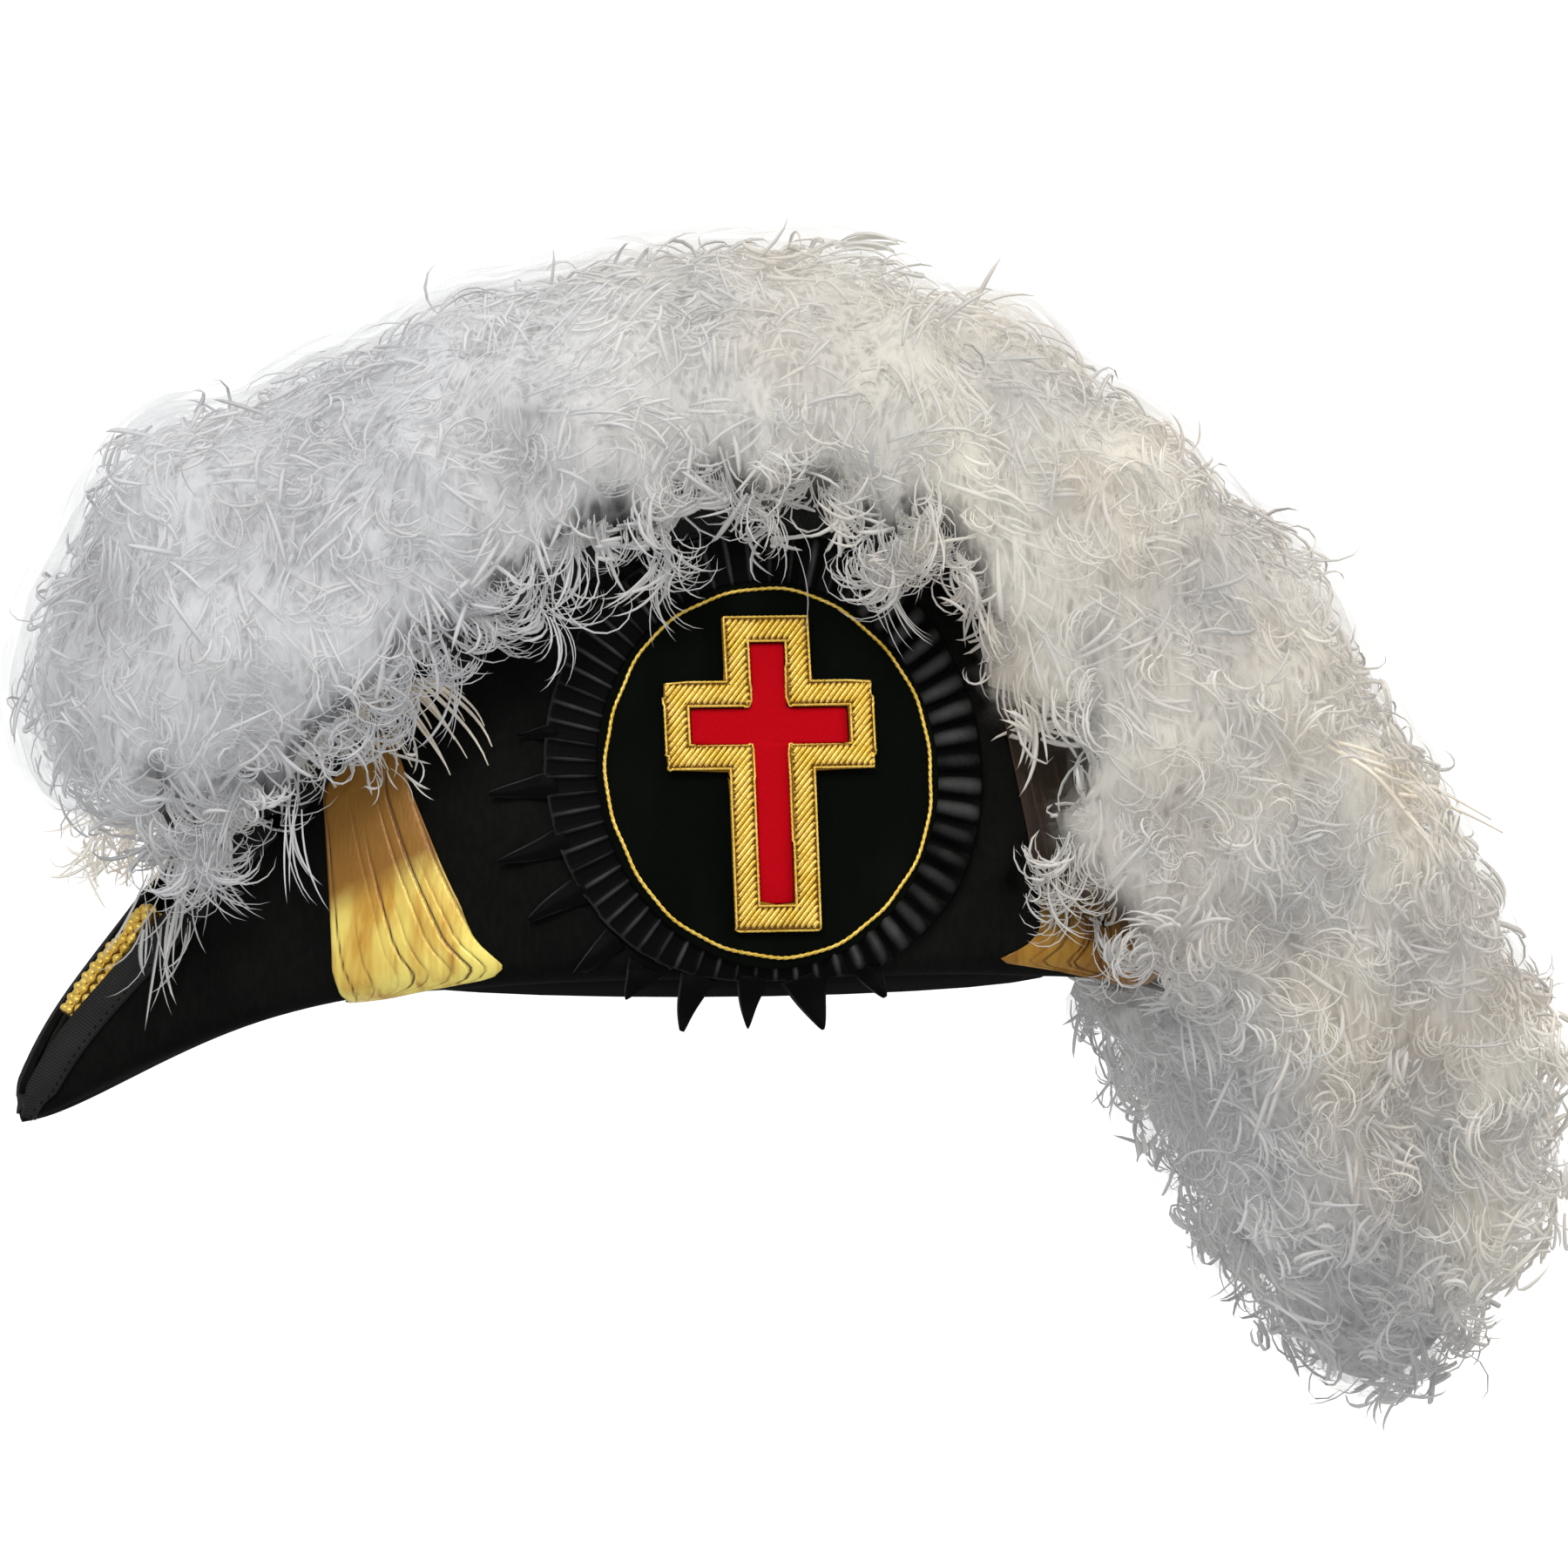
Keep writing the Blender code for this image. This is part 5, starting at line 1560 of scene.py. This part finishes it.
def curled_flues(plume, rng, surface):
    """Tight curls seen face on: over the tail, and low on the plume's near side."""
    height = surface.facing[:, 2]
    x, y, z = surface.middles.T
    lower = smooth_step(0.45, -0.25, height)
    tail = smooth_step(0.07, 0.13, x) * smooth_step(0.10, 0.02, z)
    near = 0.12 + smooth_step(0.01, -0.04, y)
    band = (1.0 - surface.cover) * (0.15 + 0.85 * surface.cover) * 1.2
    spread = (0.42 + 0.5 * lower + 0.8 * tail) * surface.cover
    in_lock = 5
    locks = plume.curls // in_lock
    total = locks * in_lock
    of_lock = np.repeat(np.arange(locks), in_lock)
    middles, normals = surface.pick(rng, locks, (spread + band) * near)
    normals = normals[of_lock]
    roots = middles[of_lock] + rng.normal(0, 1.5 * MM, (total, 3))
    roots = roots + normals * rng.uniform(3.0, 8.0, total)[:, None] * MM
    falling = rng.normal(size=(locks, 3)) + np.array([0.2, 0.0, -0.9])
    drift = along_surface(falling[of_lock], normals)
    lifted = normals * rng.uniform(0.0, 0.45, total)[:, None]
    starts = unit(drift + lifted + 0.12 * rng.normal(size=(total, 3)))
    turn = either_way(rng, locks)[of_lock][:, None]
    axes = across_starts(rng, starts, normals * turn, 0.15)
    lengths = rng.uniform(0.012, 0.026, locks)[of_lock] * rng.uniform(0.8, 1.15, total)
    curls = np.radians(rng.uniform(110, 330, locks)[of_lock] + rng.uniform(-30, 30, total))
    widths = plume.width * rng.uniform(0.55, 1.15, total)
    flues = Flues(rng, roots, starts, axes, lengths, curls, widths, 7, 1.2)
    flues.tone *= 0.3
    flues.deep *= 0.7
    return flues


def fringe_flues(plume, rng, surface):
    """Locks of longer curls that hang from the plume's lower edge over the hat, with gaps between."""
    x, y, z = surface.middles.T
    over_badge = 1.0 + 1.6 * smooth_step(-0.05, -0.03, x) * smooth_step(0.07, 0.05, x)
    over_badge = over_badge + 5.0 * smooth_step(0.100, 0.088, x) * smooth_step(0.052, 0.042, z)
    low = smooth_step(0.15, 0.70, 1.0 - surface.cover) * over_badge
    far = 0.25 * smooth_step(0.02, 0.05, y) * smooth_step(0.1, -0.4, surface.facing[:, 2])
    far = far * smooth_step(-0.165, -0.145, x)
    in_lock, least = 7, 1e-6
    locks = plume.fringe // in_lock
    total = locks * in_lock
    middles, normals = surface.pick(rng, locks, low + far + least)
    of_lock = np.repeat(np.arange(locks), in_lock)
    roots = middles[of_lock] + rng.normal(0, 1.6 * MM, (total, 3))
    ways = unit(0.30 * normals + np.array([0.05, -0.1, -0.95]) + 0.42 * rng.normal(size=(locks, 3)))
    starts = unit(ways[of_lock] + 0.13 * rng.normal(size=(total, 3)))
    turns = either_way(rng, locks)[:, None]
    leans = np.array([0.0, 1.0, 0.0]) * turns + 0.35 * rng.normal(size=(locks, 3))
    axes = across_starts(rng, starts, leans[of_lock], 0.12)
    lengths = rng.uniform(0.014, 0.031, locks)[of_lock] * rng.uniform(0.75, 1.15, total)
    curls = np.radians(rng.uniform(30, 280, locks)[of_lock] + rng.uniform(-35, 35, total))
    widths = plume.width * rng.uniform(0.55, 1.2, total)
    flues = Flues(rng, roots, starts, axes, lengths, curls, widths, 8, 1.3)
    flues.tone *= 0.6
    return flues


# Loose fibres off the plume's rear shoulder: root, tip and bow upwards
LOOSE = (
    ((0.166, -0.050, 0.062), (0.196, -0.046, 0.036), 0.003),
    ((0.168, -0.048, 0.063), (0.212, -0.040, 0.040), 0.004),
    ((0.170, -0.046, 0.060), (0.206, -0.042, 0.022), 0.005),
    ((0.176, -0.044, 0.058), (0.222, -0.036, 0.038), 0.002),
    ((0.180, -0.044, 0.055), (0.218, -0.038, 0.028), 0.003),
    ((0.190, -0.042, 0.047), (0.226, -0.034, 0.034), 0.002),
)


def make_quills(plume, wall, near_side):
    """Stiff bare fibres that fan out over the felt above the front lace, and a few loose at the rear."""
    rng = np.random.default_rng(21)
    first, last = Vector((-0.117, 0.075)), Vector((-0.089, 0.083))
    total, spots = 24, 9
    fibres = Bundle()
    for k in range(total):
        place = k / (total - 1)
        root = first.lerp(last, place)
        heading = math.radians(-104 + 70 * place + rng.uniform(-5, 5))
        reach = rng.uniform(0.013, 0.029)
        line = []
        for out in np.linspace(0.0, 1.0, spots):
            bend = heading + 0.5 * out * out * (0.5 - place)
            x = root.x + math.cos(bend) * reach * out
            z = root.y + math.sin(bend) * reach * out
            line.append(wall.place(x, z, 5 * MM - 2.5 * MM * out + 1.2 * MM * math.sin(3 * out + k)))
        radii = rng.uniform(0.7, 1.05) * MM * (1.0 - 0.8 * np.linspace(0.0, 1.0, spots))
        fibres.tube(line, radii, LEFTWARDS, sides=5)
    shares = np.linspace(0.0, 1.0, 12)
    thickness, outside = 0.85 * MM, 10 * MM
    for root, tip, bow in LOOSE:
        line = []
        for t in shares:
            spot = Vector(root).lerp(Vector(tip), t) + Vector((0, 0, bow * math.sin(math.pi * t)))
            found = near_side.hit(spot.x, spot.z)
            if found:
                spot.y = min(spot.y, found[0].y - outside)
            line.append(spot)
        fibres.tube(line, thickness * (1.0 - 0.75 * shares), LEFTWARDS, sides=5)
    fibres.piece("plume_quills", quill_finish(plume), "feather")


def beak_wisps(plume, rng, wall):
    """A tuft that hangs over the binding behind the beak, and short curls above the felt beside it."""
    hanging, short = 30, 70
    total = hanging + short
    hangs = np.arange(total) < hanging
    x = np.where(hangs, rng.uniform(-0.165, -0.150, total), rng.uniform(-0.152, -0.118, total))
    lifts = rng.uniform(3, 9, total)
    spots = [wall.place(a, wall.high(a), lift * MM) for a, lift in zip(x, lifts)]
    roots = np.array([tuple(spot) for spot in spots])
    hung, risen = rng.uniform(0.012, 0.026, total), rng.uniform(-5, 6, total) * MM
    roots[:, 2] = np.where(hangs, hung, roots[:, 2] + risen)
    way = np.where(hangs[:, None], np.array([[-0.16, -0.12, -0.95]]), np.array([[0.1, -0.3, -0.5]]))
    starts = unit(way + np.where(hangs, 0.16, 0.6)[:, None] * rng.normal(size=(total, 3)))
    axes = across_starts(rng, starts, np.tile((0.0, 1.0, 0.0), (total, 1)))
    lengths = np.where(hangs, rng.uniform(0.014, 0.030, total), rng.uniform(0.007, 0.015, total))
    curls = np.radians(np.where(hangs, rng.uniform(-70, 90, total), rng.uniform(60, 250, total)))
    widths = plume.width * rng.uniform(0.6, 1.25, total)
    flues = Flues(rng, roots, starts, axes, lengths, curls, widths, 7, 1.3)
    flues.tone *= 0.4
    flues.warmth[:] = 0.5
    return flues


def tan_down(plume, rng, wall):
    """Warmer down round the roots of the bare fibres."""
    total = 110
    x = rng.uniform(-0.124, -0.094, total)
    z = rng.uniform(0.052, 0.082, total) - 0.25 * (x + 0.094)
    lifts = rng.uniform(2, 7, total)
    roots = np.array([tuple(wall.place(a, b, lift * MM)) for a, b, lift in zip(x, z, lifts)])
    starts = unit(np.array([0.25, -0.15, -0.8]) + 0.45 * rng.normal(size=(total, 3)))
    axes = across_starts(rng, starts, np.tile((0.0, 1.0, 0.0), (total, 1)))
    lengths = rng.uniform(0.007, 0.015, total)
    curls = np.radians(rng.uniform(-60, 160, total))
    widths = plume.width * rng.uniform(0.5, 1.1, total)
    flues = Flues(rng, roots, starts, axes, lengths, curls, widths, 6, 1.3)
    flues.tone *= 0.7
    flues.warmth[:] = 1.0
    return flues


def far_haze(plume, rng):
    """Faint warm down that hangs behind the beak on the far side."""
    total = 130
    spots = rng.uniform((-0.179, 0.000, 0.028), (-0.152, 0.030, 0.046), (total, 3))
    starts = unit(np.array([-0.25, 0.1, -0.8]) + 0.5 * rng.normal(size=(total, 3)))
    axes = across_starts(rng, starts, rng.normal(size=(total, 3)))
    lengths = rng.uniform(0.008, 0.018, total)
    curls = np.radians(rng.uniform(30, 200, total))
    widths = plume.width * rng.uniform(0.4, 0.9, total)
    flues = Flues(rng, spots, starts, axes, lengths, curls, widths, 6, 1.3)
    flues.warmth[:] = 1.0
    flues.tone *= 0.2
    flues.deep[:] = 0.0
    return flues


def mark_plume(mesh, spots, cover):
    """Marks the plume's warmth, hollows and cover on a mesh."""
    mark(mesh, "warmth", warmth_at(spots))
    mark(mesh, "deep", deep_at(spots))
    mark(mesh, "cover", cover)


def make_veils(plume, core, lower):
    """Thin veils of fine threads over the core, one outside the other, and a faint halo outside them."""
    layers = (
        ("plume_veil_1", 3.0 * MM, 0.40, veil_finish(plume, 1, 0.62)),
        ("plume_veil_2", 6.5 * MM, 0.40, veil_finish(plume, 2, 0.30)),
        ("plume_halo_1", 10.0 * MM, 0.22, halo_finish(plume, 1, 0.30)),
        ("plume_halo_2", 14.0 * MM, 0.22, halo_finish(plume, 2, 0.20)),
    )
    for name, lift, share_kept, material in layers:
        bm = bmesh.new()
        bm.from_mesh(core)
        bm.normal_update()
        push(bm, [vertex.normal * lift for vertex in bm.verts])
        smooth_out(bm, 3)
        mesh = bpy.data.meshes.new(name)
        bm.to_mesh(mesh)
        bm.free()
        spots = places_of(mesh)
        x, y, z = spots.T
        thinner = 1.0 - 0.45 * smooth_step(0.04, -0.02, z)
        under = smooth_step(0.35, -0.15, places_of(mesh, "normal")[:, 2])
        over_hat = smooth_step(-0.185, -0.170, x) * smooth_step(0.135, 0.115, x)
        far = smooth_step(0.012, 0.030, y) * over_hat * under
        mark_plume(mesh, spots, cover_at(lower, spots) ** 2 * thinner * (1.0 - far))
        piece = new_piece(name, mesh, material)
        piece.visible_shadow = False
        piece.modifiers.new("thin", "DECIMATE").ratio = share_kept
        carry(piece, "feather")


def make_plume(plume, hat_tree, wall):
    """The plume: a core, veils, soft flues, tight curls, a fringe and bare fibres.

    The core is drawn in behind the felt where only curls hang in front of it.
    """
    rng = np.random.default_rng(plume.seed)
    down = down_finish(plume)
    mesh = plume_core(down, wall)
    faces = [face.vertices for face in mesh.polygons]
    lower = Wall(BVHTree.FromPolygons([vertex.co for vertex in mesh.vertices], faces), LEFT)
    surface = Surface(mesh, lower)
    make_veils(plume, mesh, lower)
    cover = cover_at(lower, places_of(mesh))
    behind_felt = Vector((0.0, 17 * MM, 5 * MM))
    for vertex, bare in zip(mesh.vertices, 1.0 - cover):
        vertex.co += behind_felt * float(bare)
    mark_plume(mesh, places_of(mesh), cover)
    material = feather_finish(plume)
    carry(new_piece("plume_down", mesh, down), "feather", "plume")
    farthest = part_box("plume")[1].y + 12 * MM

    def clear_lines(flues):
        """True for the flues that keep clear of the hat and of the far side's limit."""
        return clear_of(hat_tree, flues.lines) & (flues.lines[..., 1].max(axis=1) < farthest)

    soft = soft_flues(plume, rng, surface)
    clear = clear_lines(soft)
    x = soft.roots[:, 0]
    for name, low, high in (
        ("plume_front", -1.0, -0.075),
        ("plume_top", -0.075, 0.035),
        ("plume_shoulder", 0.035, 0.140),
        ("plume_tail", 0.140, 1.0),
    ):
        soft.piece(name, clear & (x >= low) & (x < high), material)
    curls = curled_flues(plume, rng, surface)
    clear = clear_lines(curls)
    front = curls.roots[:, 0] < 0.05
    # The rear curls get a lighter copy of the feather finish: painted light.
    bright = feather_finish(plume, "feather_bright", 1.14)
    curls.piece("plume_curls_front", clear & front, material)
    curls.piece("plume_curls_rear", clear & ~front, bright)
    fringe = fringe_flues(plume, rng, surface)
    rear_tuft = (fringe.roots[:, 0] > 0.050) & (fringe.roots[:, 2] < 0.055)
    stray = rear_tuft & (fringe.lines[..., 0].min(axis=1) < 0.069)
    fringe.piece("plume_fringe", clear_lines(fringe) & ~stray, material)
    wisps = beak_wisps(plume, rng, wall)
    wisps.piece("plume_wisps", clear_lines(wisps), material)
    tan = tan_down(plume, rng, wall)
    tan.piece("plume_tan_down", clear_lines(tan), material)
    haze = far_haze(plume, rng)
    # The far haze gets a much lighter copy of the feather finish: painted light.
    haze.piece("plume_far_haze", clear_lines(haze), feather_finish(plume, "feather_haze", 1.5))
    make_quills(plume, wall, lower)


def make_floor(stage):
    """A wide pale floor below the plume's tail, which doesn't light the hat from below."""
    mesh = bpy.data.meshes.new("floor")
    with edited(mesh) as bm:
        bmesh.ops.create_grid(bm, x_segments=8, y_segments=8, size=60.0)
        bmesh.ops.translate(bm, vec=(0, 0, CAD_BOX[0].z - stage.drop), verts=bm.verts)
    floor = new_piece("floor", mesh, floor_finish(stage))
    floor.visible_diffuse = False
    floor.visible_glossy = False


def area_light(name, place, target, size, power, tint):
    """A round soft light that looks at a target."""
    data = bpy.data.lights.new(name, "AREA")
    data.shape = "DISK"
    data.size = size
    data.energy = power
    data.color = tint
    light = bpy.data.objects.new(name, data)
    light.location = place
    light.rotation_euler = (Vector(target) - Vector(place)).to_track_quat("-Z", "Y").to_euler()
    bpy.context.scene.collection.objects.link(light)


def make_lights():
    """A pale sky, a soft key from above the front, and a warm fill from behind."""
    world = bpy.data.worlds.new("pale_room")
    bpy.context.scene.world = world
    world.use_nodes = True
    sky = world.node_tree.nodes["Background"]
    sky.inputs["Color"].default_value = (0.97, 0.98, 1.0, 1.0)
    sky.inputs["Strength"].default_value = 0.62
    middle = (0.0, 0.0, 0.04)
    area_light("key", (-0.9, -1.6, 2.1), middle, size=1.3, power=42.0, tint=(1.0, 0.99, 0.97))
    area_light("warm_fill", (1.6, -0.6, 1.0), middle, size=1.0, power=14.0, tint=(1.0, 0.92, 0.82))
    bpy.context.scene.view_settings.view_transform = "Standard"


def make_camera(stage):
    """The camera at the photograph's angle, with a long lens."""
    middle_x, middle_z = 21.25 * MM, 48.9 * MM
    turn, lift = stage.azimuth, stage.elevation
    right = Vector((math.cos(turn), math.sin(turn), 0.0))
    level = Vector((-math.sin(turn), math.cos(turn), 0.0))
    ahead = level * math.cos(lift) - Vector((0, 0, math.sin(lift)))
    up = right.cross(ahead)
    data = bpy.data.cameras.new("camera")
    data.lens = data.sensor_width * stage.distance / stage.view
    data.clip_end = 200.0
    camera = bpy.data.objects.new("camera", data)
    camera.location = right * middle_x + up * middle_z - ahead * stage.distance
    camera.rotation_euler = ahead.to_track_quat("-Z", "Y").to_euler()
    bpy.context.scene.collection.objects.link(camera)
    bpy.context.scene.camera = camera


def felt_walls():
    """The outer faces of both fans, by side."""
    tree = tree_of(bpy.data.objects["brim_felt"])
    return {side: Wall(tree, side) for side in (LEFT, RIGHT)}


class HatFelt(bpy.types.Operator):
    """Dress the crown and the brim in black felt, with a band inside the head opening"""

    bl_idname = "hat.felt"
    bl_label = "Felt"

    def execute(self, context):
        make_felt(context.scene.hat_cloth)
        make_sweatband()
        return {"FINISHED"}


class HatBindings(bpy.types.Operator):
    """Bind the fans' edges in ribbed ribbon"""

    bl_idname = "hat.bindings"
    bl_label = "Bindings"

    def execute(self, context):
        make_bindings(context.scene.hat_cloth, felt_walls())
        return {"FINISHED"}


class HatLace(bpy.types.Operator):
    """Lay creased gold lace round the fans"""

    bl_idname = "hat.lace"
    bl_label = "Gold lace"

    def execute(self, context):
        make_lace(context.scene.hat_gold, felt_walls())
        return {"FINISHED"}


class HatRosette(bpy.types.Operator):
    """Make the pleated rosette, its velvet disc and its gold cord"""

    bl_idname = "hat.rosette"
    bl_label = "Rosette"

    def execute(self, context):
        rosette = context.scene.hat_rosette
        make_rosette_ribbon(rosette, felt_walls())
        disc = make_rosette_disc(rosette)
        make_ring(rosette, context.scene.hat_gold, tree_of(disc, bpy.data.objects["brim_felt"]))
        return {"FINISHED"}


class HatCross(bpy.types.Operator):
    """Make the red cloth cross and its border of gold wire"""

    bl_idname = "hat.cross"
    bl_label = "Cross"

    def execute(self, context):
        make_cross(context.scene.hat_rosette, context.scene.hat_gold)
        return {"FINISHED"}


class HatTassel(bpy.types.Operator):
    """Make the bullion tassel in the front beak"""

    bl_idname = "hat.tassel"
    bl_label = "Tassel"

    def execute(self, context):
        make_tassel(context.scene.hat_gold)
        return {"FINISHED"}


class HatPlume(bpy.types.Operator):
    """Grow the curled plume"""

    bl_idname = "hat.plume"
    bl_label = "Plume"

    def execute(self, context):
        names = ("brim_felt", "rosette_velvet", "rosette_frill")
        hat_tree = tree_of(*[bpy.data.objects[name] for name in names])
        make_plume(context.scene.hat_plume, hat_tree, felt_walls()[LEFT])
        return {"FINISHED"}


class HatStage(bpy.types.Operator):
    """Set the floor, the lights and the camera"""

    bl_idname = "hat.stage"
    bl_label = "Stage"

    def execute(self, context):
        make_floor(context.scene.hat_stage)
        make_lights()
        make_camera(context.scene.hat_stage)
        return {"FINISHED"}


OPERATORS = (HatFelt, HatBindings, HatLace, HatRosette, HatCross, HatTassel, HatPlume, HatStage)
SETTINGS = {
    "hat_cloth": HatClothSettings,
    "hat_gold": HatGoldSettings,
    "hat_rosette": HatRosetteSettings,
    "hat_plume": HatPlumeSettings,
    "hat_stage": HatStageSettings,
}


class HatPanel(bpy.types.Panel):
    """The hat's sizes, colours and steps"""

    bl_idname = "VIEW3D_PT_plumed_hat"
    bl_label = "Plumed Hat"
    bl_space_type = "VIEW_3D"
    bl_region_type = "UI"
    bl_category = "Hat"

    def draw(self, context):
        for name in SETTINGS:
            box = self.layout.box()
            settings = getattr(context.scene, name)
            for key in settings.bl_rna.properties.keys():
                if key not in ("rna_type", "name"):
                    box.prop(settings, key)
        for operator in OPERATORS:
            self.layout.operator(operator.bl_idname)


def register():
    """Adds the classes, and the settings to every scene."""
    for item in (*SETTINGS.values(), *OPERATORS, HatPanel):
        bpy.utils.register_class(item)
    for name, group in SETTINGS.items():
        setattr(bpy.types.Scene, name, bpy.props.PointerProperty(type=group))


def unregister():
    """Takes the settings and the classes away again."""
    for name in SETTINGS:
        delattr(bpy.types.Scene, name)
    for item in reversed((*SETTINGS.values(), *OPERATORS, HatPanel)):
        bpy.utils.unregister_class(item)


def main():
    register()
    for step in (
        bpy.ops.hat.felt,
        bpy.ops.hat.bindings,
        bpy.ops.hat.lace,
        bpy.ops.hat.rosette,
        bpy.ops.hat.cross,
        bpy.ops.hat.tassel,
        bpy.ops.hat.plume,
        bpy.ops.hat.stage,
    ):
        step()


if __name__ == "__main__":
    main()
